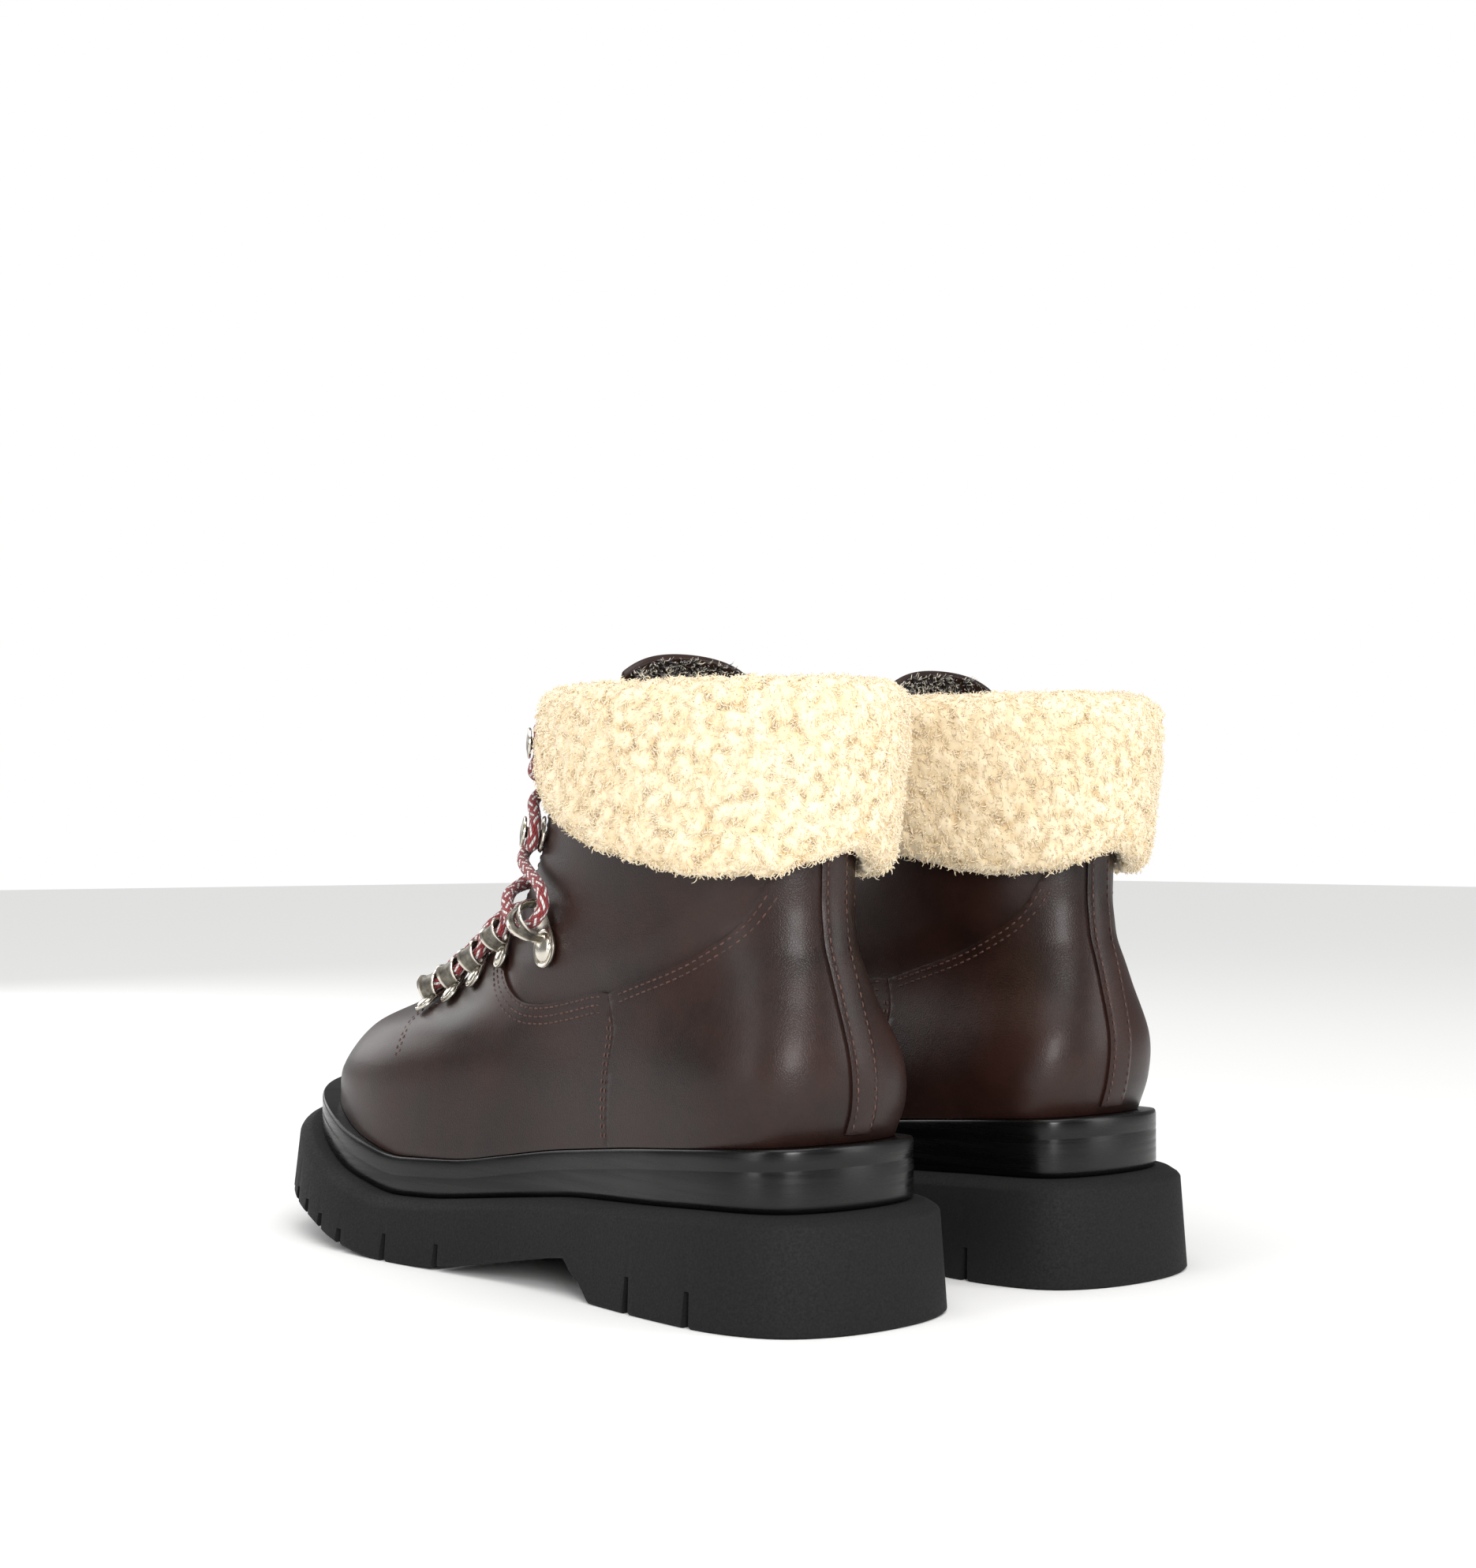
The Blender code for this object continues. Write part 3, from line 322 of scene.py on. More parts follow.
def feltMaterial(name, dark, light, scale):   # pressed fibre: mottled, dull, slightly hairy
    mat, tree, shader = newMaterial(name, light, 0.95, Sheen_Weight=0.2)
    place = addNode(tree, "ShaderNodeTexCoord").outputs["Object"]
    fibre = addNode(tree, "ShaderNodeTexNoise", {"Scale": scale, "Detail": 6.0, "Roughness": 0.75}, Vector=place)
    tree.links.new(colourRamp(tree, fibre.outputs["Fac"], [(0.3, dark), (0.7, light)]), shader.inputs["Base Color"])
    bump = addNode(tree, "ShaderNodeBump", {"Strength": 0.5, "Distance": 0.0005}, Height=fibre.outputs["Fac"])
    tree.links.new(bump.outputs["Normal"], shader.inputs["Normal"])
    return mat


boardMat = feltMaterial("pressed_insole_board", "#7d6247", "#a98a68", 500.0)
stiffMat = feltMaterial("stiffener_board", "#94856f", "#b9aa92", 400.0)
footbedMat = feltMaterial("wool_felt_footbed", "#b7a684", "#e2d5b8", 700.0)
print("materials ready")

# ---- camera, light and floor
camera = bpy.data.objects.new("camera", bpy.data.cameras.new("camera"))
bpy.context.scene.collection.objects.link(camera)
camera.data.lens = 54.07
camera.data.sensor_width = 36
camera.location = (0.5497, 0.6607, 0.1460)
azimuth, tilt = 2.43805, -0.0239
look = Vector((-sin(azimuth) * cos(tilt), cos(azimuth) * cos(tilt), -sin(tilt)))
camera.rotation_euler = look.to_track_quat("-Z", "Y").to_euler()
bpy.context.scene.camera = camera
world = bpy.data.worlds.new("studio")
bpy.context.scene.world = world
world.use_nodes = True
backdrop = world.node_tree.nodes["Background"]
backdrop.inputs["Color"].default_value = (1.0, 1.0, 1.0, 1)
seen = addNode(world.node_tree, "ShaderNodeLightPath").outputs["Is Camera Ray"]
strength = addNode(world.node_tree, "ShaderNodeMapRange", {"To Min": 0.26, "To Max": 1.0}, Value=seen)
world.node_tree.links.new(strength.outputs["Result"], backdrop.inputs["Strength"])
bpy.context.scene.view_settings.view_transform = "Standard"
softboxes = {"right": ((-0.75, 1.25, 0.55), 0.42, 1.0, 6.0),
             "left": ((1.45, 0.05, 0.6), 0.35, 1.2, 5.0), "front": ((0.2, -1.3, 0.7), 1.0, 1.0, 7.0),
             "camera": ((0.66, 1.10, 0.46), 0.40, 0.55, 9.0)}
for name, (place, wide, high, power) in softboxes.items():
    lamp = bpy.data.lights.new(name, "AREA")
    lamp.shape = "RECTANGLE"
    lamp.size, lamp.size_y, lamp.energy = wide, high, power
    box = bpy.data.objects.new(name, lamp)
    box.location = place
    box.rotation_euler = (Vector((0, 0, 0.1)) - box.location).to_track_quat("-Z", "Y").to_euler()
    bpy.context.scene.collection.objects.link(box)
sky = bpy.data.lights.new("overhead", "SUN")
sky.energy, sky.angle = 1.9, radians(60)   # as soft as a large diffuser
overhead = bpy.data.objects.new("overhead", sky)
overhead.rotation_euler = (radians(-12), radians(8), 0)
bpy.context.scene.collection.objects.link(overhead)
bpy.ops.mesh.primitive_plane_add(size=12, location=(0, 0, 0))
floor = bpy.context.object
floor.name = "floor"
floorMat = newMaterial("pale_studio_floor", "#f6f6f5", 0.9)[0]
floor.data.materials.append(floorMat)


# ---- helpers for pieces
def clearSelection():
    for ob in bpy.context.selected_objects:
        ob.select_set(False)


def flipNormals(mesh):
    bm = bmesh.new()
    bm.from_mesh(mesh)
    bmesh.ops.reverse_faces(bm, faces=bm.faces)
    bm.to_mesh(mesh)
    bm.free()


def onBoth(ob, name, mat, nodes=(), body="boot"):
    ob.name = name + "_L"
    ob.data.name = ob.name
    if mat:
        ob.data.materials.clear()
        ob.data.materials.append(mat)
    twinMesh = ob.data.copy()
    twinMesh.transform(Matrix.Scale(-1, 4, (1, 0, 0)))
    flipNormals(twinMesh)
    twin = bpy.data.objects.new(name + "_R", twinMesh)
    bpy.context.scene.collection.objects.link(twin)
    for piece, side, word in ((ob, "L", "left_"), (twin, "R", "right_")):
        if body == "boot":
            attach(piece, word + "boot")
        if nodes:
            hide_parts(*[n + "_" + side for n in nodes])
    return ob, twin


def meshObject(name, verts, faces):
    mesh = bpy.data.meshes.new(name)
    mesh.from_pydata([tuple(v) for v in verts], [], faces)
    mesh.update()
    ob = bpy.data.objects.new(name, mesh)
    bpy.context.scene.collection.objects.link(ob)
    return ob


def applyModifier(ob, kind, **settings):
    mod = ob.modifiers.new(kind.lower(), kind)
    for key, value in settings.items():
        setattr(mod, key, value)
    clearSelection()
    bpy.context.view_layer.objects.active = ob
    ob.select_set(True)
    bpy.ops.object.modifier_apply(modifier=mod.name)


def recalculate(ob, merge=0.0):
    bm = bmesh.new()
    bm.from_mesh(ob.data)
    if merge:
        bmesh.ops.remove_doubles(bm, verts=bm.verts, dist=merge)
    bmesh.ops.recalc_face_normals(bm, faces=bm.faces)
    bm.to_mesh(ob.data)
    bm.free()


def smoothShade(ob, angle=35):
    clearSelection()
    bpy.context.view_layer.objects.active = ob
    ob.select_set(True)
    bpy.ops.object.shade_smooth_by_angle(angle=radians(angle))


def curvedLine(points, step=2.0):   # a smooth line through points, in millimetres
    p = np.array(points, float)
    p = np.vstack([2 * p[0] - p[1], p, 2 * p[-1] - p[-2]])
    out = []
    for i in range(1, len(p) - 2):
        n = max(2, int(np.linalg.norm(p[i + 1] - p[i]) / step))
        for x in np.arange(n) / n:
            a = 2 * p[i] + (p[i + 1] - p[i - 1]) * x + (2 * p[i - 1] - 5 * p[i] + 4 * p[i + 1] - p[i + 2]) * x**2
            out.append(0.5 * (a + (3 * p[i] - p[i - 1] - 3 * p[i + 1] + p[i + 2]) * x**3))
    return np.array(out + [p[-2]])


# ---- leather upper: four panels cut from one lasted shape
throatLine = [(222, 225), (222, 89.5), (211, 87.5), (203, 91.5), (194, 98), (184, 106), (170, 117), (158, 130),
              (150, 148), (145.5, 170), (143, 225)]
heelSeam = curvedLine([(91, 97), (80, 100.5), (62, 106.3), (50, 112), (37, 121.5), (27, 139)])
instepSeam = curvedLine([(91, 97), (98, 97.0), (113, 94.0), (126, 91.8), (136, 91.4), (144, 93), (152, 97),
                         (160, 103), (166, 110), (169, 120)])
sideSeam = curvedLine([(91, 30), (91.5, 52), (90, 71), (87.5, 85), (91, 97)])


def distanceTo(line, p):   # signed side-view distance to a seam line, positive on its lower or heel side
    a, b = line[:-1], line[1:]
    q = p[..., None, :]
    e = b - a
    x = np.clip(((q - a) * e).sum(-1) / (e * e).sum(-1), 0, 1)
    d = q - (a + e * x[..., None])
    r = np.linalg.norm(d, axis=-1)
    k = r.argmin(-1)
    side = np.take_along_axis(e[:, 0] * d[..., 1] - e[:, 1] * d[..., 0], k[..., None], -1)[..., 0]
    return np.take_along_axis(r, k[..., None], -1)[..., 0] * np.where(side < 0, 1, -1)


def creases(p):   # soft folds above the heel and over the instep
    v, z = p[..., 1] * 1000, p[..., 2] * 1000
    heel = np.exp(-((v - 20) / 26)**2 - ((z - 116) / 13)**2)
    bend = np.exp(-((v - 168) / 26)**2 - ((z - 92) / 15)**2)
    a = np.sin(z / 2.6 + v / 9) * 0.00016 * heel
    return a + np.sin((z * 0.8 + v * 0.45) / 3.4) * 0.00014 * bend


def gridShell(name, heights, turns, outerInset, innerInset):
    s, t = np.meshgrid(heights, turns, indexing="ij")
    layers = [toFrame(upper(s, t, depth(s, t))) for depth in (outerInset, innerInset)]
    rows, cols = s.shape
    verts = np.concatenate([layer.reshape(-1, 3) for layer in layers])
    faces = []
    n = rows * cols
    for i in range(rows - 1):
        for j in range(cols):
            k = (j + 1) % cols
            faces.append((i * cols + j, (i + 1) * cols + j, (i + 1) * cols + k, i * cols + k))
            faces.append((n + i * cols + k, n + (i + 1) * cols + k, n + (i + 1) * cols + j, n + i * cols + j))
    for j in range(cols):
        k = (j + 1) % cols
        faces.append((k, n + k, n + j, j))
        top = (rows - 1) * cols
        faces.append((top + j, n + top + j, n + top + k, top + k))
    ob = meshObject(name, verts, faces)
    recalculate(ob)
    return ob


def sidePrism(points, low, high):
    pts = np.array(points, float) / 1000
    n = len(pts)
    verts = np.concatenate([toFrame(np.column_stack([np.full(n, u), pts[:, 0], pts[:, 1]])) for u in (low, high)])
    faces = [tuple(range(n)), tuple(range(2 * n - 1, n - 1, -1))]
    faces += [(i, n + i, n + (i + 1) % n, (i + 1) % n) for i in range(n)]
    ob = meshObject("cutter", verts, faces)
    bm = bmesh.new()
    bm.from_mesh(ob.data)
    bmesh.ops.triangulate(bm, faces=bm.faces)
    bmesh.ops.recalc_face_normals(bm, faces=bm.faces)
    bm.to_mesh(ob.data)
    bm.free()
    return ob


def cut(ob, cutter, operation):
    applyModifier(ob, "BOOLEAN", object=cutter, operation=operation, solver="EXACT")
    bpy.data.objects.remove(cutter)


fine = np.concatenate([np.linspace(0, 0.9, 8), np.linspace(1.1, 7, 66)])
evenT = np.linspace(0, 2 * pi, 1200, endpoint=False)
girth = np.linalg.norm(np.diff(upperRaw(np.full(1200, 1.5), evenT), axis=0, append=0)[:-1], axis=1)
girth = np.concatenate([[0], np.cumsum(girth)])
turns = np.interp(np.linspace(0, girth[-1], 210, endpoint=False), girth, evenT[:len(girth)])
panels = {"vamp": (list(sideSeam) + list(instepSeam[1:]) + [(172, 225), (330, 225), (330, 20)], -0.09, 0.09,
                   "over"),
          "heel_panel": (list(sideSeam) + list(heelSeam[1:]) + [(24, 165), (22, 225), (-30, 225), (-30, 30)], -0.09,
                         0.09, "over"),
          "lateral_quarter": (0, 0.0022, 0.09, "under"), "medial_quarter": (0, -0.09, 0.0022, "under")}
quarterLine = [(20.5, 225), (22.5, 165), (25, 139)] + [(v - 1, z - 1.6) for v, z in heelSeam[::-1][1:]]
quarterLine += [(v + 0.4, z - 1.6) for v, z in instepSeam[1:]] + [(172, 118), (176, 225)]


def overInset(s, t):
    p = upperRaw(s, t)
    return creases(p)


def underInset(s, t):   # the quarters run under the edges of the lower panels
    p = upperRaw(s, t)
    seams = np.vstack([heelSeam[::-1], instepSeam[1:]])
    d = np.abs(distanceTo(seams, p[..., 1:] * 1000))
    return creases(p) + 0.0011 * smooth(1 - d / 13)


for name, (line, low, high, kind) in panels.items():
    outer = overInset if kind == "over" else underInset
    ob = gridShell(name, fine, turns, outer,
                   lambda s, t: np.full(s.shape, boot["leather"] + (0.0006 if kind == "under" else 0)))
    cut(ob, sidePrism(throatLine, -0.09, 0.09), "DIFFERENCE")
    cut(ob, sidePrism(quarterLine if kind == "under" else line, low, high), "INTERSECT")
    applyModifier(ob, "BEVEL", width=0.00045, segments=2, limit_method="ANGLE", angle_limit=radians(50),
                  harden_normals=False)
    smoothShade(ob, 40)
    onBoth(ob, "leather_" + name, leatherMat, (name,))
print("leather upper done")

# ---- places on the leather from a side view
gridS, gridT = np.meshgrid(np.linspace(0, 7, 180), np.linspace(0, pi, 260), indexing="ij")
skinSides = {1: upperRaw(gridS, gridT), -1: upperRaw(gridS, 2 * pi - gridT)}


def onSkin(v, z, hand):   # height parameter and angle of a side-view point, millimetres
    grid = skinSides[hand]
    target = np.array([v, z]) / 1000
    cell = np.unravel_index(np.argmin(((grid[..., 1:] - target)**2).sum(-1)), gridS.shape)
    s, t = gridS[cell], gridT[cell] if hand > 0 else 2 * pi - gridT[cell]
    for step in range(4):
        s = float(np.clip(s, 0.002, 6.998))
        base = upperRaw(np.array(s), np.array(t))[1:]
        ds = (upperRaw(np.array(s + 1e-3), np.array(t))[1:] - base) / 1e-3
        dt = (upperRaw(np.array(s), np.array(t + 1e-3))[1:] - base) / 1e-3
        jac = np.array([ds, dt]).T
        if abs(np.linalg.det(jac)) < 1e-9:
            break
        move = np.linalg.solve(jac, target - base)
        s += float(np.clip(move[0], -0.1, 0.1))
        t += float(np.clip(move[1], -0.1, 0.1))
    return s, t


def offsetLine(line, d):
    tangent = np.gradient(line, axis=0)
    tangent /= np.linalg.norm(tangent, axis=1)[:, None]
    return line + np.column_stack([tangent[:, 1], -tangent[:, 0]]) * d


thread = {"pitch": 2.9, "length": 2.2, "width": 0.62, "sides": 6}


def stitchRow(points, proud=0.00005):
    p = np.array(points)
    run = np.concatenate([[0], np.cumsum(np.linalg.norm(np.diff(p[:, :3], axis=0), axis=1))])
    verts, faces = [], []
    count = int(run[-1] * 1000 / thread["pitch"])
    for k in range(count):
        middle = (k + 0.5) * thread["pitch"] / 1000
        ends = [middle - thread["length"] / 2000, middle + thread["length"] / 2000]
        a, b = [np.array([np.interp(x, run, p[:, c]) for c in range(6)]) for x in ends]
        out = a[3:] + b[3:]
        out /= np.linalg.norm(out)
        way = b[:3] - a[:3]
        way /= np.linalg.norm(way)
        across = np.cross(out, way)
        base = len(verts)
        for place, size, rise in ((0.0, 0.35, -0.00028), (0.22, 0.9, 0.0), (0.5, 1.0, 0.00010), (0.78, 0.9, 0.0),
                                  (1.0, 0.35, -0.00028)):
            centre = a[:3] + (b[:3] - a[:3]) * place + out * (proud + rise)
            for q in range(thread["sides"]):
                angle = 2 * pi * q / thread["sides"]
                verts.append(centre + (across * cos(angle) + out * sin(angle) * 0.75) * size * thread["width"] / 2000)
        n = thread["sides"]
        for ring in range(4):
            for q in range(n):
                r = (q + 1) % n
                faces.append((base + ring * n + q, base + ring * n + r, base + (ring + 1) * n + r,
                              base + (ring + 1) * n + q))
        faces.append(tuple(base + q for q in range(n))[::-1])
        faces.append(tuple(base + 4 * n + q for q in range(n)))
    return verts, faces


def skinRow(line, hand, raise_=0.0):
    rows = []
    for v, z in line[::2]:
        s, t = onSkin(v, z, hand)
        s, t = np.array(s), np.array(t)
        p = upper(s, t, -raise_)
        rows.append(np.concatenate([toFrame(p), inwardOf(s, t) * (-1, 1, -1)]))
    return rows


allVerts, allFaces = [], []


def addRow(points, proud=0.00005):
    verts, faces = stitchRow(points, proud)
    base = len(allVerts)
    allVerts.extend(verts)
    allFaces.extend([tuple(base + i for i in f) for f in faces])


for hand in (1, -1):
    for d in (1.3, 4.0, 6.4):
        addRow(skinRow(offsetLine(instepSeam, d)[2:-1], hand))
    for d in (-1.6, -4.0):
        addRow(skinRow(offsetLine(heelSeam, d)[2:-3], hand))
    for d in (1.3, 3.1):
        addRow(skinRow(offsetLine(sideSeam, d)[10:-2], hand))
    dart = curvedLine([(214, 84.5), (211, 79), (208, 72), (205.5, 66)])
    for d in (0.0, 2.0):
        addRow(skinRow(offsetLine(dart, d), hand))
    edgeRow = curvedLine([(208, 85.2), (200.5, 89.5), (191.5, 96), (181.5, 104), (167.5, 115), (155.5, 128.5),
                          (147.5, 147),
                          (143, 168), (141.5, 186)])
    addRow(skinRow(edgeRow, hand))
print("seams placed")

# ---- soles
def soleOutline(inset, stations):
    t = np.arccos(1 - 2 * stations / boot["soleLength"])
    t = np.concatenate([t, 2 * pi - t[-2:0:-1]])
    f = (1 - np.cos(t)) / 2
    v = boot["soleLength"] * f
    w = np.where(np.sin(t) >= -1e-9, halfWidth(v, 1), -halfWidth(v, 2))
    p = np.stack([w - 0.003 * f**3, v], -1)
    tangent = np.roll(p, -1, 0) - np.roll(p, 1, 0)
    n = np.stack([-tangent[:, 1], tangent[:, 0]], -1)
    n /= np.linalg.norm(n, axis=1)[:, None]
    if np.sum(n * (p - p.mean(0))) > 0:
        n = -n
    return p + n * inset


def soleRing(inset, line, lift=0.0, level=None):
    p = soleOutline(inset, soleStations)
    z = easedLine(line, (soleOutline(level, soleStations) if level is not None else p)[:, 1]) + lift
    return toFrame(np.column_stack([p, z]))


def stackRings(name, rings):   # rings from the ground up, closed by strips across the foot
    count = len(rings[0])
    half = count // 2
    faces = []
    for r in range(len(rings) - 1):
        for i in range(count):
            j = (i + 1) % count
            faces.append((r * count + i, r * count + j, (r + 1) * count + j, (r + 1) * count + i))
    for base in (0, (len(rings) - 1) * count):
        for i in range(half):
            a, b, c, d = base + i, base + i + 1, base + (count - i - 1) % count, base + (count - i) % count
            quad = [x for k, x in enumerate((a, b, c, d)) if x not in (a, b, c, d)[:k]]
            faces.append(tuple(quad))
    ob = meshObject(name, np.concatenate(rings), faces)
    recalculate(ob)
    return ob


soleStations = 0.15 * (1 - np.cos(pi * np.arange(97) / 96))
sole = {"flare": 0.0025, "chamfer": 0.0040, "midInset": 0.0078, "toeNotch": 5.0}
rings = [soleRing(-sole["flare"] + 0.0008, treadLine, 0.0, 0), soleRing(-sole["flare"], treadLine, 0.0009, 0),
         soleRing(-0.0004, ledgeLine, -0.0036), soleRing(0, ledgeLine, -0.0029),
         soleRing(0.0006, ledgeLine, -0.0022),
         soleRing(sole["chamfer"] - 0.0006, ledgeLine, -0.0004), soleRing(sole["chamfer"] + 0.0004, ledgeLine),
         soleRing(sole["midInset"] + 0.004, ledgeLine)]
for ring in rings[:2]:
    ring[:, 2] = np.maximum(ring[:, 2], 0.0)
outsole = stackRings("outsole", rings)


def grooves(boxes):   # tapered slots across the sole, all in one cutter
    whole = bmesh.new()
    for v, wide, low, high, uLow, uHigh in boxes:
        half = wide / 2000
        verts = []
        for u in (uLow, uHigh):
            for dv, z in ((-half, low), (half, low), (half * 0.55, high), (-half * 0.55, high)):
                verts.append(whole.verts.new(toFrame(np.array([u, v / 1000 + dv, z / 1000]))))
        whole.faces.new(verts[:4])
        whole.faces.new(verts[4:][::-1])
        for i in range(4):
            j = (i + 1) % 4
            whole.faces.new((verts[i], verts[4 + i], verts[4 + j], verts[j]))
    bmesh.ops.recalc_face_normals(whole, faces=whole.faces)
    mesh = bpy.data.meshes.new("cutter")
    whole.to_mesh(mesh)
    whole.free()
    cutter = bpy.data.objects.new("cutter", mesh)
    bpy.context.scene.collection.objects.link(cutter)
    return cutter


lugBoxes = [(38.8, 3.6, -3, 11, -0.09, 0.09), (67.5, 3.6, -3, 11.5, -0.09, 0.09), (167.5, 3.6, -3, 9, -0.09, 0.09),
            (195, 3.6, -3, 9.5, -0.09, 0.09)]
for v in (222, 236.5, 249.5, 262, 273.5):
    low = float(along(treadLine, v / 1000)) * 1000
    lugBoxes.append((v, sole["toeNotch"], low - 4, low + 5.5, -0.09, 0.09))
for v in (17, 53, 81):
    lugBoxes.append((v, 3.0, -3, 4.5, -0.012, 0.012))
for v in (181, 208.5):
    lugBoxes.append((v, 3.0, -3, 4.5, -0.022, 0.022))
cut(outsole, grooves(lugBoxes), "DIFFERENCE")
applyModifier(outsole, "BEVEL", width=0.0006, segments=2, limit_method="ANGLE", angle_limit=radians(40))
smoothShade(outsole, 38)
onBoth(outsole, "lugged_outsole", outsoleMat, ("outsole",))

rise = [(0.0006, ledgeLine, 0.0003), (0, ledgeLine, 0.0011), (0, ledgeLine, 0.0030), (0, midTopLine, -0.0070),
        (0.00007, midTopLine, -0.0066), (0.00007, midTopLine, -0.0062), (0, midTopLine, -0.0058),
        (0, midTopLine, -0.0014),
        (0.0002, midTopLine, -0.0006), (0.0006, midTopLine, -0.0001), (0.0014, midTopLine, 0),
        (0.0075, midTopLine, 0)]
midsole = stackRings("midsole", [soleRing(sole["midInset"] + d, line, lift) for d, line, lift in rise])
smoothShade(midsole, 45)
onBoth(midsole, "polished_midsole", midsoleMat, ("midsole",))
print("soles done")


# ---- strip over the back seam
def sheetPiece(name, front, back):   # closed sheet between two grids of frame points
    rows, cols = front.shape[:2]
    n = rows * cols
    faces = []
    for i in range(rows - 1):
        for j in range(cols - 1):
            a, b, c, d = i * cols + j, i * cols + j + 1, (i + 1) * cols + j + 1, (i + 1) * cols + j
            faces += [(a, b, c, d), (n + d, n + c, n + b, n + a)]
    border = [(0, j) for j in range(cols)] + [(i, cols - 1) for i in range(1, rows)]
    border += [(rows - 1, j) for j in range(cols - 2, -1, -1)] + [(i, 0) for i in range(rows - 2, 0, -1)]
    loop = [i * cols + j for i, j in border]
    for a, b in zip(loop, loop[1:] + loop[:1]):
        faces.append((a, n + a, n + b, b))
    ob = meshObject(name, np.concatenate([front.reshape(-1, 3), back.reshape(-1, 3)]), faces)
    recalculate(ob)
    return ob


def aroundHeel(s, offset):   # angle at a sideways distance from the back line
    fineT = np.linspace(-0.6, 0.6, 241)
    p = upper(np.full(241, s), fineT)
    run = np.concatenate([[0], np.cumsum(np.linalg.norm(np.diff(p, axis=0), axis=1))])
    run -= np.interp(0, fineT, run)
    return np.interp(offset, run, fineT)


strip = {"half": 0.0052, "thick": 0.0015, "columns": 13, "rows": 90}
stripAcross = np.linspace(-1, 1, strip["columns"])
front, back = [], []
for s in np.linspace(0.25, 5.7, strip["rows"]):
    angles = aroundHeel(s, stripAcross * strip["half"])
    edgeFall = smooth((np.abs(stripAcross) - 0.72) / 0.28) * 0.0006
    crease = creases(upperRaw(np.full(len(angles), s), angles))
    front.append(toFrame(upper(np.full(len(angles), s), angles, -strip["thick"] + edgeFall + crease)))
    back.append(toFrame(upper(np.full(len(angles), s), angles, 0.0002 + 0 * edgeFall)))
backStrip = sheetPiece("strip", np.array(front), np.array(back))
smoothShade(backStrip, 50)
onBoth(backStrip, "heel_back_strip", leatherMat, ("back_strip",))
for offset in (-0.0036, 0.0036):
    rows = []
    for s in np.linspace(0.35, 5.5, 60):
        t = np.array(aroundHeel(s, offset))
        p = upper(np.array(s), t, -strip["thick"])
        rows.append(np.concatenate([toFrame(p), inwardOf(np.array(s), t) * (-1, 1, -1)]))
    addRow(rows, 0.00002)
stitches = meshObject("stitches", allVerts, allFaces)
recalculate(stitches)
smoothShade(stitches, 60)
onBoth(stitches, "seam_stitching", threadMat, ())
print("stitches", len(allFaces))


# ---- fleece lining, deep inside
def pileNoise(p, size, seed=0.0):   # repeatable clumps from a few waves
    q = p / size
    w = (np.sin(q[..., 0] * 2.1 + 1.3 * np.sin(q[..., 1] * 1.7 + seed))
         * np.sin(q[..., 1] * 2.3 + 1.1 * np.sin(q[..., 2] * 1.9)))
    return w * np.sin(q[..., 2] * 2.2 + 1.2 * np.sin(q[..., 0] * 1.6 + seed))


def stiffened(s, t):
    p = upperRaw(s, t)
    heel = smooth((0.092 - p[..., 1]) / 0.012) * smooth((0.112 - p[..., 2]) / 0.010)
    toe = smooth((p[..., 1] - 0.226) / 0.012)
    facing = smooth((np.minimum(t, 2 * pi - t) - 1.35) / 0.3) * smooth((s - 2.0) / 0.4)
    return np.maximum(np.maximum(heel, toe), facing * 1.5)


def liningOuter(s, t):
    return boot["leather"] + 0.0009 + stiffened(s, t) * 0.0017


def liningInner(s, t):
    pile = 0.0006 * pileNoise(upperRaw(s, t), 0.0016)
    return boot["leather"] + boot["gap"] + stiffened(s, t) * 0.0014 + boot["lining"] + pile


lining = gridShell("lining", np.linspace(0.02, 6.98, 84), turns[::2], liningOuter, liningInner)
cut(lining, sidePrism([(v - 5 if 0 < i < 10 else v, z - 2 if v > 190 else z)
                       for i, (v, z) in enumerate(throatLine)],
                      -0.09, 0.09), "DIFFERENCE")
smoothShade(lining, 70)
liningMat = shearlingMaterial("short_pile_lining", "#b59a72", "#dccba8")
onBoth(lining, "fleece_lining", liningMat, ("lining",))

# ---- shearling cuff
cuff = {"rows": 380, "around": 120, "knob": 0.0031, "swell": 0.0019, "curls": 20400, "length": 0.0025,
        "thick": 0.00023}
cuffT = np.linspace(2.10, -2.10, cuff["rows"])
cuffLow = np.interp(np.abs(cuffT), [0, 0.45, 0.9, 1.6, 2.1], [5.55, 5.2, 5.25, 5.8, 6.3])


def cuffSection(t, low, squeeze):
    fat = boot["cuff"] * (0.86 + 0.14 * np.cos(t / 2))
    inside = -0.0009 - 0.0019 * np.exp(-(t / 0.3)**2)
    inner = 0.0054
    section = np.array([upper(low, t, inside), upper(low - 0.1, t, -fat * 0.55), upper(low + 0.15, t, -fat * 0.95),
                        upper((low + 7) / 2, t, -fat), upper(6.75, t, -fat),
                        upper(7, t, -fat * 0.85) + (0, 0, 0.0024),
                        upper(7, t, -fat * 0.4) + (0, 0, 0.006), upper(7, t, 0.002) + (0, 0, 0.006),
                        upper(7, t, inner) + (0, 0, 0.003), upper(7, t, inner) + (0, 0, 0.0008),
                        upper(7, t, inside) + (0, 0, 0.0008), upper((low + 7) / 2, t, inside)])
    middle = section.mean(0)
    return middle + (section - middle) * squeeze


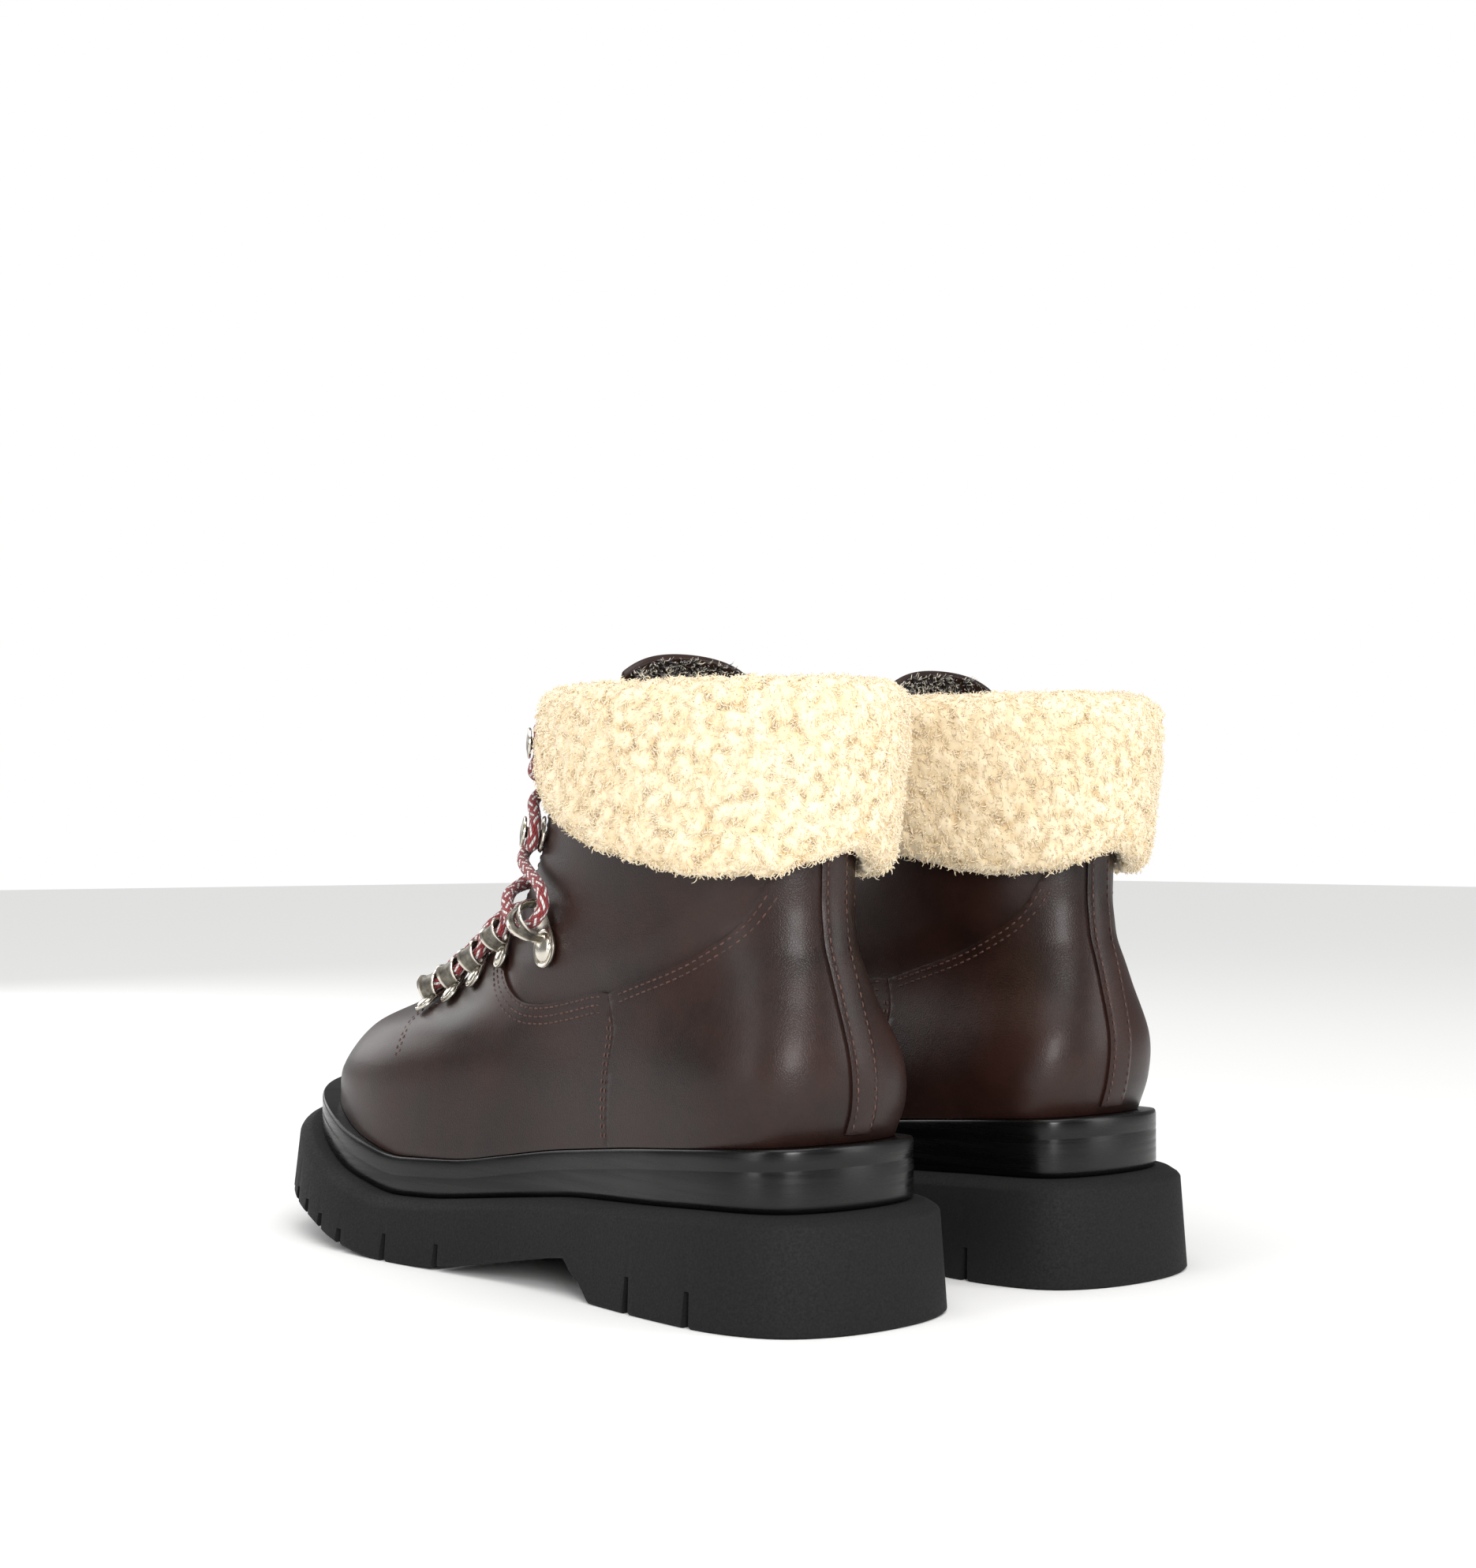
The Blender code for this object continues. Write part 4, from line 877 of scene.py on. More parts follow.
def closedCurve(p, count):   # evenly spaced smooth loop through points
    n = len(p)
    out = []
    for i in range(n):
        p0, p1, p2, p3 = p[i - 1], p[i], p[(i + 1) % n], p[(i + 2) % n]
        for x in np.arange(12) / 12:
            a = 2 * p1 + (p2 - p0) * x + (2 * p0 - 5 * p1 + 4 * p2 - p3) * x * x
            out.append(0.5 * (a + (3 * p1 - p0 - 3 * p2 + p3) * x**3))
    out = np.array(out + out[:1])
    run = np.concatenate([[0], np.cumsum(np.linalg.norm(np.diff(out, axis=0), axis=1))])
    at = np.linspace(0, run[-1], count, endpoint=False)
    return np.column_stack([np.interp(at, run, out[:, c]) for c in range(3)])


loops = []
for k, (t, low) in enumerate(zip(cuffT, cuffLow)):
    end = min(k, cuff["rows"] - 1 - k) / 12
    squeeze = np.sqrt(np.clip(1 - (1 - min(end, 1))**2, 0.0009, 1))
    loops.append(toFrame(closedCurve(cuffSection(t, low, squeeze), cuff["around"])))
loops = np.array(loops)
nRows, nCols = loops.shape[:2]
da = np.roll(loops, -1, 1) - np.roll(loops, 1, 1)
db = np.gradient(loops, axis=0)
cuffNormal = np.cross(da, db)
cuffNormal /= np.maximum(np.linalg.norm(cuffNormal, axis=-1), 1e-9)[..., None]
if (cuffNormal * (loops - loops.mean(1, keepdims=True))).sum() < 0:
    cuffNormal = -cuffNormal
edgeFade = np.minimum(np.minimum(np.arange(nRows), nRows - 1 - np.arange(nRows)) / 16, 1)


def scatter(grid, normals, count, seed, keep=None):   # random points spread by area on a grid of points
    rng = np.random.default_rng(seed)
    a = grid[:-1, :-1]
    b, c = grid[1:, :-1] - a, grid[:-1, 1:] - a
    area = np.linalg.norm(np.cross(b, c), axis=-1)
    if keep is not None:
        area = area * keep[:-1, :-1]
    weight = area.reshape(-1) / area.sum()
    cell = rng.choice(len(weight), count, p=weight)
    i, j = np.unravel_index(cell, area.shape)
    x, y = rng.random((2, count, 1))
    n = normals[i, j] * (1 - x) * (1 - y) + normals[i + 1, j] * x * (1 - y)
    n = n + normals[i, j + 1] * (1 - x) * y + normals[i + 1, j + 1] * x * y
    n /= np.linalg.norm(n, axis=1)[:, None]
    return a[i, j] + b[i, j] * x + c[i, j] * y, n


def wrap(grid):
    return np.concatenate([grid, grid[:, :1]], 1)


knobs = []   # middles of the wool knobs, none closer than most of a knob
tries = scatter(wrap(loops), wrap(cuffNormal), 9000, 5)[0]
taken = {}
gap = cuff["knob"] * 1.12
for point in tries:
    cell = tuple(np.floor(point / gap).astype(int))
    near = [q for dx in (-1, 0, 1) for dy in (-1, 0, 1) for dz in (-1, 0, 1)
            for q in taken.get((cell[0] + dx, cell[1] + dy, cell[2] + dz), [])]
    if all(((q - point)**2).sum() > gap * gap for q in near):
        taken.setdefault(cell, []).append(point)
        knobs.append(point)
knobTree = KDTree(len(knobs))
for i, point in enumerate(knobs):
    knobTree.insert(point, i)
knobTree.balance()
knobTall = np.random.default_rng(6).uniform(0.6, 1.25, len(knobs))
dome = np.zeros((nRows, nCols))
for i in range(nRows):
    for j in range(nCols):
        (p1, k1, d1), (p2, k2, d2) = knobTree.find_n(loops[i, j], 2)
        h1 = max(1 - (d1 / (cuff["knob"] * 1.15))**2, 0)**0.5 * knobTall[k1]
        h2 = max(1 - (d2 / (cuff["knob"] * 1.15))**2, 0)**0.5 * knobTall[k2]
        dome[i, j] = max(h1, h2) * 0.75 + 0.25 * (h1 + h2) / 2
lump = dome * cuff["swell"] + pileNoise(loops, 0.0007, 2.0) * 0.00028
pelt = loops + cuffNormal * ((lump - 0.0020) * edgeFade[:, None])[..., None]
faces = []
for i in range(nRows - 1):
    for j in range(nCols):
        k = (j + 1) % nCols
        faces.append((i * nCols + j, i * nCols + k, (i + 1) * nCols + k, (i + 1) * nCols + j))
faces.append(tuple(range(nCols)))
faces.append(tuple((nRows - 1) * nCols + j for j in range(nCols)))
peltOb = meshObject("pelt", pelt.reshape(-1, 3), faces)
recalculate(peltOb)
# depth is low in the hollows between knobs, so the ramp paints shade there and lighter colour on the knob tops
depth = peltOb.data.attributes.new("depth", "FLOAT", "POINT")
depth.data.foreach_set("value", np.clip(0.05 + dome.reshape(-1) * 0.5, 0, 1).astype(np.float32))
smoothShade(peltOb, 180)
peltPair = onBoth(peltOb, "cuff_pelt", shearlingMat, ("cuff",))


# short tapering wool curls fanning out of their knob
def curlyNap(roots, normals, spec, seed, tree, middles, steps=4, sides=3):
    rng = np.random.default_rng(seed)
    n = len(roots)
    lock = np.array([tree.find(r)[1] for r in roots])
    lockSpin = rng.uniform(0, 2 * pi, len(middles))[lock]
    lockTurn = rng.choice([-1, 1], len(middles))[lock]
    fan = roots - middles[lock]
    fan -= normals * (fan * normals).sum(1)[:, None]
    fan /= spec["knob"]
    swirl = np.cross(normals, fan) * lockTurn[:, None]
    side = np.cross(normals, np.array([0, 0, -1.0]) + rng.normal(0, 0.05, (n, 3)))
    side /= np.maximum(np.linalg.norm(side, axis=1), 1e-6)[:, None]
    length = spec["length"] * rng.uniform(0.6, 1.3, n)
    thick = spec["thick"] * rng.uniform(0.7, 1.3, n)
    wave = rng.normal(0, 0.5, n) + lockSpin
    lean = rng.normal(0, 0.16, (n, 3)) + fan * 0.55 + swirl * 0.55
    centre = []
    for k in range(steps + 1):
        f = k / steps
        outward = np.sin(f * 1.9)
        coil = spec["coil"] * f
        turn = wave + f * spec["turns"] * 2 * pi
        centre.append(roots - normals * 0.0004 + normals * (length * outward * 0.42)[:, None]
                      + (lean - (0, 0, 0.12)) * (length * f)[:, None]
                      + side * (coil * np.cos(turn))[:, None]
                      + np.cross(normals, side) * (coil * np.sin(turn))[:, None])
    centre = np.array(centre)
    way = np.gradient(centre, axis=0)
    way /= np.maximum(np.linalg.norm(way, axis=-1), 1e-9)[..., None]
    ax = np.cross(way, side[None])
    ax /= np.maximum(np.linalg.norm(ax, axis=-1), 1e-9)[..., None]
    ay = np.cross(way, ax)
    verts = []
    for k in range(steps + 1):
        f = k / steps
        r = thick * (1.0 - 0.8 * f**2.5)
        for q in range(sides):
            a = 2 * pi * q / sides
            verts.append(centre[k] + (ax[k] * cos(a) + ay[k] * sin(a)) * r[:, None])
    verts = np.array(verts).transpose(1, 0, 2).reshape(-1, 3)
    per = (steps + 1) * sides
    one = []
    for k in range(steps):
        for q in range(sides):
            r = (q + 1) % sides
            one.append((k * sides + q, k * sides + r, (k + 1) * sides + r, (k + 1) * sides + q))
    quads = (np.array(one)[None] + (np.arange(n) * per)[:, None, None]).reshape(-1, 4)
    caps = np.array([[q for q in range(sides)][::-1], [steps * sides + q for q in range(sides)]])
    caps = (caps[None] + (np.arange(n) * per)[:, None, None]).reshape(-1, sides)
    mesh = bpy.data.meshes.new("locks")
    total = len(quads) * 4 + len(caps) * sides
    mesh.vertices.add(len(verts))
    mesh.vertices.foreach_set("co", verts.reshape(-1))
    mesh.loops.add(total)
    mesh.loops.foreach_set("vertex_index", np.concatenate([quads.reshape(-1), caps.reshape(-1)]).astype(np.int32))
    mesh.polygons.add(len(quads) + len(caps))
    starts = np.concatenate([np.arange(len(quads)) * 4, len(quads) * 4 + np.arange(len(caps)) * sides])
    mesh.polygons.foreach_set("loop_start", starts.astype(np.int32))
    mesh.update(calc_edges=True)
    mesh.validate()
    shade = (np.tile(np.repeat(np.linspace(0.15, 0.85, steps + 1), sides), n)
             + np.repeat(rng.normal(0, 0.09, n), per))
    attribute = mesh.attributes.new("depth", "FLOAT", "POINT")
    attribute.data.foreach_set("value", shade.astype(np.float32))
    mesh.polygons.foreach_set("use_smooth", np.ones(len(mesh.polygons), bool))
    ob = bpy.data.objects.new("locks", mesh)
    bpy.context.scene.collection.objects.link(ob)
    recalculate(ob)
    return ob


bootMiddle = np.array([boot["pairPitch"] / 2, 0.15 - 0.086, 0.17])
outwardness = ((wrap(pelt) - bootMiddle) * wrap(cuffNormal) * (1, 1, 0)).sum(-1) / 0.045
shown = np.clip(0.35 + outwardness, 0.10, 1)
napSpec = {"length": cuff["length"], "thick": cuff["thick"], "coil": 0.00045, "turns": 0.8, "knob": cuff["knob"]}
for part in range(3):
    roots, outs = scatter(wrap(pelt), wrap(cuffNormal), cuff["curls"] // 3, 11 + part, shown)
    nap = curlyNap(roots, outs, napSpec, 21 + part, knobTree, np.array(knobs))
    onBoth(nap, "cuff_curls_%d" % (part + 1), shearlingMat, ())
print("cuff done")

# ---- tongue: one padded leather piece from under the lace to the folded-back top
tongueFace = boot["leather"] + boot["stiffener"] + boot["lining"] + 4 * boot["gap"] + 0.0016
tongueT = pi + np.linspace(-0.66, 0.66, 33)
hinge = upper(np.array(5.86), np.array(pi), tongueFace + boot["tongue"] / 2)
hinge[2] = upper(np.full(33, 5.86), tongueT, tongueFace)[:, 2].max() + 0.0009
tongueTop = np.array([0.0, 0.094, 0.207])


def flapPoint(k, a, depth):
    bow = np.array([0, 0.001 * sin(pi * k), 0])
    middle = hinge * (1 - k) + tongueTop * k + bow
    middle[0] = 0.0022 * (1 - 0.5 * k)
    ahead = hinge * (1 - k - 0.01) + tongueTop * (k + 0.01) + np.array([0, 0.001 * sin(pi * (k + 0.01)), 0])
    way = ahead - middle
    way[0] = 0
    way /= np.linalg.norm(way)
    normal = np.array([0, way[2] * k + 1 - k, -way[1] * k])
    normal /= np.linalg.norm(normal)
    half = 0.026 * (0.62 + 0.36 * k + 0.08 * k**4)
    sag = 0.016 * (1 - 0.6 * k) * a * a
    sideways = np.array([a * half, 0, 0])
    return middle + sideways - normal * (sag - depth * boot["tongue"]) - way * (0.0040 * a**4 * k**3)


across = np.linspace(-1, 1, 33)
front, back = [], []
for s in np.linspace(2.95, 5.5, 44):
    plump = 0.0004 * np.cos(across * pi / 2)
    front.append(upper(np.full(33, s), tongueT[::-1], tongueFace - plump))
    back.append(upper(np.full(33, s), tongueT[::-1], tongueFace + boot["tongue"]))
for f in np.linspace(0.1, 0.9, 6):
    low = [front[43], back[43]]
    for rows, depth, base in ((front, 0.5, low[0]), (back, -0.5, low[1])):
        tip = np.array([flapPoint(0.10, a, depth) for a in across])
        if tip[0, 0] * base[0, 0] < 0:
            base = base[::-1]
        blend = smooth(f)
        rows.append(base * (1 - blend) + tip * blend)
for k in np.linspace(0.14, 1, 26):
    front.append(np.array([flapPoint(k, a, 0.5) for a in across]))
    back.append(np.array([flapPoint(k, a, -0.5) for a in across]))
if front[0][0, 0] * front[-1][0, 0] < 0:
    for i in range(44):
        front[i], back[i] = front[i][::-1], back[i][::-1]
front, back = np.array(front), np.array(back)
for i in range(44, 50):   # keep both sides of the joining rows in step
    f = smooth((i - 43) / 7)
    front[i] = front[43] * (1 - f) + front[50] * f
    back[i] = back[43] * (1 - f) + back[50] * f
tongue = sheetPiece("tongue", toFrame(front), toFrame(back))
applyModifier(tongue, "BEVEL", width=0.0009, segments=3, limit_method="ANGLE", angle_limit=radians(55))
smoothShade(tongue, 60)
tonguePair = onBoth(tongue, "padded_tongue", tongueMat, ("tongue", "tongue_flap"), body=None)


def blendTongue(pair):
    for piece, side in zip(pair, ("left", "right")):
        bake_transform(piece)


blendTongue(tonguePair)
rimRows = []
for a in np.linspace(-0.86, 0.86, 40):
    k = 0.93
    p = flapPoint(k, a, 0.5)
    n = flapPoint(k, a, 0.6) - p
    rimRows.append(np.concatenate([toFrame(p), (n / np.linalg.norm(n)) * (1, -1, 1)]))
sideRows = [[], []]
for k in np.linspace(0.25, 0.93, 24):
    for hand in (0, 1):
        a = 0.88 * (1 if hand else -1)
        p = flapPoint(k, a, 0.5)
        n = flapPoint(k, a, 0.6) - p
        sideRows[hand].append(np.concatenate([toFrame(p), (n / np.linalg.norm(n)) * (1, -1, 1)]))
allVerts, allFaces = [], []
for row in (rimRows, sideRows[0], sideRows[1]):
    addRow(row)
rimStitch = meshObject("rim", allVerts, allFaces)
recalculate(rimStitch)
smoothShade(rimStitch, 60)
pair = onBoth(rimStitch, "tongue_stitching", threadMat, (), body=None)
for piece, side in zip(pair, ("left", "right")):
    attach(piece, side + "_tongue_flap")
furGrid = np.array([[toFrame(flapPoint(k, a, -0.5)) for a in np.linspace(-0.93, 0.93, 20)]
                    for k in np.linspace(0.35, 0.995, 20)])
furWay = np.cross(np.gradient(furGrid, axis=0), np.gradient(furGrid, axis=1))
furWay /= np.linalg.norm(furWay, axis=-1)[..., None]
outBack = np.array([toFrame(flapPoint(0.7, 0, -0.6)) - toFrame(flapPoint(0.7, 0, -0.5))])[0]
if (furWay @ outBack).mean() < 0:
    furWay = -furWay
roots, outs = scatter(furGrid, furWay, 2600, 31)
furSpec = {"length": 0.0042, "thick": 0.00026, "coil": 0.0005, "turns": 0.8, "knob": 0.003}
tufts = roots[::9]
tuftTree = KDTree(len(tufts))
for i, point in enumerate(tufts):
    tuftTree.insert(point, i)
tuftTree.balance()
fur = curlyNap(roots, outs, furSpec, 32, tuftTree, tufts)
pair = onBoth(fur, "tongue_fur", darkFurMat, (), body=None)
for piece, side in zip(pair, ("left", "right")):
    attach(piece, side + "_tongue_flap")
print("tongue done")

# ---- lace
lacePoints = [
    (-0.7, 144.9, 164.3), (-1.0, 144.5, 173.7), (-3.8, 148.2, 181.6), (-10.8, 150.5, 185.3), (-20.5, 142.2, 183.9),
    (-23.6, 137.5, 181.9), (-24.2, 136.7, 178.4), (-23.4, 138.1, 175.1), (-20.2, 143.1, 174.1),
    (-15.9, 150.7, 168.8),
    (4.6, 160.6, 165.7), (21.9, 151.0, 159.5), (26.1, 144.4, 153.9), (29.1, 140.3, 150.7), (29.7, 140.4, 147.1),
    (28.8, 142.6, 144.2), (25.7, 147.7, 144.6), (11.3, 163.3, 146.3), (-1.3, 160.7, 143.3), (-20.3, 152.9, 139.8),
    (-31.1, 124.3, 128.4), (-31.7, 123.0, 123.0), (-30.6, 139.0, 115.8), (-20.7, 158.8, 127.0),
    (-3.3, 172.2, 134.6),
    (17.6, 170.1, 128.3), (28.8, 159.1, 116.0), (27.5, 169.3, 111.5), (21.3, 174.8, 114.5), (8.3, 181.2, 117.8),
    (-13.5, 180.1, 113.6), (-19.3, 178.5, 107.8), (-19.2, 188.8, 103.2), (-14.0, 192.5, 108.3), (2.9, 197.5, 113.9),
    (17.9, 194.9, 107.7), (24.0, 192.2, 101.1), (24.5, 202.6, 96.9), (16.4, 204.9, 100.5), (3.7, 207.5, 102.2),
    (-11.0, 206.9, 100.5), (-18.7, 206.3, 95.4), (-20.8, 216.9, 92.4), (-15.0, 217.9, 94.7), (-5.8, 219.0, 99.5),
    (9.6, 220.0, 98.9), (18.5, 218.1, 94.7), (24.1, 216.6, 92.4), (23.0, 205.9, 95.5), (16.2, 207.8, 102.2),
    (1.0, 209.9, 106.8), (-13.5, 205.5, 102.2), (-19.9, 202.7, 96.9), (-18.6, 192.4, 101.1), (-11.9, 193.9, 106.2),
    (3.4, 194.6, 109.5), (17.3, 191.7, 106.9), (24.4, 188.7, 103.2), (24.8, 178.5, 107.8), (20.1, 181.2, 114.9),
    (-1.3, 184.8, 122.6), (-17.7, 175.6, 115.5), (-21.7, 169.3, 111.5), (-22.8, 159.1, 115.9),
    (-12.3, 170.2, 129.6),
    (8.1, 167.8, 131.4), (26.7, 159.3, 127.3), (37.1, 139.0, 115.8), (38.3, 123.1, 123.1), (37.6, 124.3, 128.5),
    (25.3, 152.7, 139.7), (9.4, 164.7, 145.5), (-6.0, 162.8, 146.1), (-20.2, 147.6, 144.5), (-23.2, 142.5, 144.2),
    (-24.1, 140.3, 147.0), (-23.6, 140.2, 150.7), (-20.6, 144.3, 153.9), (-16.9, 151.4, 159.6), (2.5, 155.5, 165.1),
    (21.7, 151.2, 168.9), (25.7, 143.1, 174.1), (28.9, 138.2, 175.1), (29.8, 136.8, 178.4), (29.1, 137.6, 181.9),
    (26.0, 142.2, 183.9), (16.1, 150.5, 185.3), (9.0, 148.2, 181.6), (6.3, 144.5, 173.7), (6.0, 144.8, 164.3)]
lacePoints = np.array(lacePoints, float).reshape(-1, 3) / 1000
lace = {"step": 0.0006, "sides": 16, "strands": 12, "braid": 0.0022, "relief": 0.00010}
path = toFrame(lacePoints)
p = np.vstack([2 * path[0] - path[1], path, 2 * path[-1] - path[-2]])
dense = []
for i in range(1, len(p) - 2):
    # centripetal, so tight turns stay round
    knot = [np.linalg.norm(p[i + k + 1] - p[i + k])**0.5 for k in (-1, 0, 1)]
    t0, t1 = 0.0, knot[0]
    t2, t3 = t1 + knot[1], t1 + knot[1] + knot[2]
    for x in np.linspace(t1, t2, 16, endpoint=False):
        a1 = (t1 - x) / (t1 - t0) * p[i - 1] + (x - t0) / (t1 - t0) * p[i]
        a2 = (t2 - x) / (t2 - t1) * p[i] + (x - t1) / (t2 - t1) * p[i + 1]
        a3 = (t3 - x) / (t3 - t2) * p[i + 1] + (x - t2) / (t3 - t2) * p[i + 2]
        b1 = (t2 - x) / (t2 - t0) * a1 + (x - t0) / (t2 - t0) * a2
        b2 = (t3 - x) / (t3 - t1) * a2 + (x - t1) / (t3 - t1) * a3
        dense.append((t2 - x) / (t2 - t1) * b1 + (x - t1) / (t2 - t1) * b2)
dense = np.array(dense + [path[-1]])
run = np.concatenate([[0], np.cumsum(np.linalg.norm(np.diff(dense, axis=0), axis=1))])
laceLength = float(run[-1])
steps = int(laceLength / lace["step"])
at = np.linspace(0, laceLength, steps)
line = np.column_stack([np.interp(at, run, dense[:, c]) for c in range(3)])
for again in range(3):
    line[1:-1] = line[1:-1] * 0.5 + (line[:-2] + line[2:]) * 0.25
way = np.gradient(line, axis=0)
way /= np.linalg.norm(way, axis=1)[:, None]
frameAxis = [np.cross(way[0], (0, 0, 1.0))]
frameAxis[0] /= np.linalg.norm(frameAxis[0])
for k in range(1, steps):
    a = frameAxis[-1] - way[k] * (frameAxis[-1] @ way[k])
    frameAxis.append(a / np.linalg.norm(a))
frameAxis = np.array(frameAxis)
second = np.cross(way, frameAxis)
n = lace["sides"]
verts, faces = [], []
uvs = []
for q in range(n):
    turn = q / n
    right = turn * lace["strands"] + at / lace["braid"]
    left = turn * lace["strands"] - at / lace["braid"]
    hollow = np.maximum(np.abs(right % 1 - 0.5), np.abs(left % 1 - 0.5)) * 2
    radius = boot["lace"] / 2 - 0.00006 + lace["relief"] * (0.5 - hollow**2)
    verts.append(line + (frameAxis * cos(2 * pi * turn) + second * sin(2 * pi * turn)) * radius[:, None])
verts = np.array(verts).transpose(1, 0, 2).reshape(-1, 3)
for k in range(steps - 1):
    for q in range(n):
        r = (q + 1) % n
        faces.append((k * n + q, k * n + r, (k + 1) * n + r, (k + 1) * n + q))
        u0, u1 = at[k] / lace["braid"], at[k + 1] / lace["braid"]
        v0, v1 = q / n * lace["strands"], (q + 1) / n * lace["strands"]
        uvs += [(u0, v0), (u0, v1), (u1, v1), (u1, v0)]
faces.append(tuple(range(n))[::-1])
faces.append(tuple((steps - 1) * n + q for q in range(n)))
uvs += [(0, 0.5)] * n + [(at[-1] / lace["braid"], 0.5)] * n
laceOb = meshObject("lace", verts, faces)
layer = laceOb.data.uv_layers.new(name="braid")
layer.data.foreach_set("uv", np.array(uvs).reshape(-1))
smoothShade(laceOb, 180)
lacePair = onBoth(laceOb, "braided_lace", braidMat, ("lace",))

# ---- hardware: stamped, plated fittings
fittings = [(2.66, 2.27), (3.02, 2.21), (3.48, 2.20), (3.97, 2.13), (4.10, 1.76), (5.90, 2.44), (6.72, 2.47)]
metal = {"plate": 0.0009, "seat": 0.0005, "rivet": 0.0031, "base": 0.0042, "at": 0.0078, "wall": 0.0009}


def lathe(name, profile, steps=40):   # profile spun about z
    bpy.ops.mesh.primitive_plane_add(size=0.001)
    ob = bpy.context.object
    ob.name = name
    mesh = bpy.data.meshes.new(name)
    mesh.from_pydata([(r, 0, z) for r, z in profile], [(i, i + 1) for i in range(len(profile) - 1)], [])
    ob.data = mesh
    bpy.ops.object.mode_set(mode="EDIT")
    bpy.ops.mesh.select_all(action="SELECT")
    bpy.ops.mesh.spin(steps=steps, angle=2 * pi, center=(0, 0, 0), axis=(0, 0, 1))
    bpy.ops.mesh.remove_doubles(threshold=0.00001)
    bpy.ops.mesh.normals_make_consistent(inside=False)
    bpy.ops.object.mode_set(mode="OBJECT")
    return ob


def joined(parts, name):
    clearSelection()
    for part in parts:
        part.select_set(True)
    bpy.context.view_layer.objects.active = parts[0]
    bpy.ops.object.join()
    parts[0].name = name
    return parts[0]


def rimAttribute(ob, value):   # how far the plating is rubbed back, one value or one for each vertex
    attribute = ob.data.attributes.new("rim", "FLOAT", "POINT")
    attribute.data.foreach_set("value", np.zeros(len(ob.data.vertices), np.float32) + np.float32(value))


def plateOutline(points, low, high, name):   # flat stamped plate with eased edges
    n = len(points)
    verts = [(x, y, low) for x, y in points] + [(x, y, high) for x, y in points]
    faces = [tuple(range(n))[::-1], tuple(range(n, 2 * n))]
    faces += [(i, (i + 1) % n, n + (i + 1) % n, n + i) for i in range(n)]
    ob = meshObject(name, verts, faces)
    recalculate(ob)
    applyModifier(ob, "BEVEL", width=0.00028, segments=2, limit_method="ANGLE", angle_limit=radians(50))
    rimAttribute(ob, 0.35)
    return ob


def hullOf(points):   # convex outline, anticlockwise
    points = sorted(map(tuple, points))

    def bendsIn(a, b, c):
        return (b[0] - a[0]) * (c[1] - a[1]) <= (b[1] - a[1]) * (c[0] - a[0])

    def half(seq):
        out = []
        for q in seq:
            while len(out) > 1 and bendsIn(out[-2], out[-1], q):
                out.pop()
            out.append(q)
        return out[:-1]
    return half(points) + half(points[::-1])


def hood(size, length, window, at, inner):   # arched shell the lace runs under, flared at both mouths
    rise = (boot["lace"] + 0.0012) * size
    spring = metal["seat"] + metal["plate"] + 0.0004
    bpy.ops.mesh.primitive_grid_add(x_subdivisions=24, y_subdivisions=14, size=2)
    ob = bpy.context.object
    rim = []
    for vert in ob.data.vertices:
        a = (vert.co.x + 1) / 2 * pi
        y = vert.co.y
        point = 0.0016 * size * sin(a)**2 if y > 0 else 0.0006 * size * sin(a)**2   # peaked at the upper mouth
        reach = (length / 2 + point) * y
        flare = 1 + 0.17 * abs(y)**3
        x = at + (inner + metal["wall"] / 2) * cos(a) * flare
        z = spring + (rise + metal["wall"] / 2) * sin(a) * flare
        if a > pi * 0.5 and size < 1.2:
            z -= 0.0002
        vert.co = (x, reach, z)
        rim.append(smooth((abs(y) - 0.72) / 0.28))
    rimAttribute(ob, rim)
    if window:
        bm = bmesh.new()
        bm.from_mesh(ob.data)
        gone = []
        for face in bm.faces:
            c = face.calc_center_median()
            lift = (c.z - spring) / rise
            if lift > 0.22 and abs(c.y) < length * 0.20 and c.x > at - inner * 0.55:
                gone.append(face)
        bmesh.ops.delete(bm, geom=gone, context="FACES")
        bm.to_mesh(ob.data)
        bm.free()
    applyModifier(ob, "SOLIDIFY", thickness=metal["wall"], offset=0)
    applyModifier(ob, "BEVEL", width=0.00022, segments=2, limit_method="ANGLE", angle_limit=radians(50))
    recalculate(ob)
    return ob


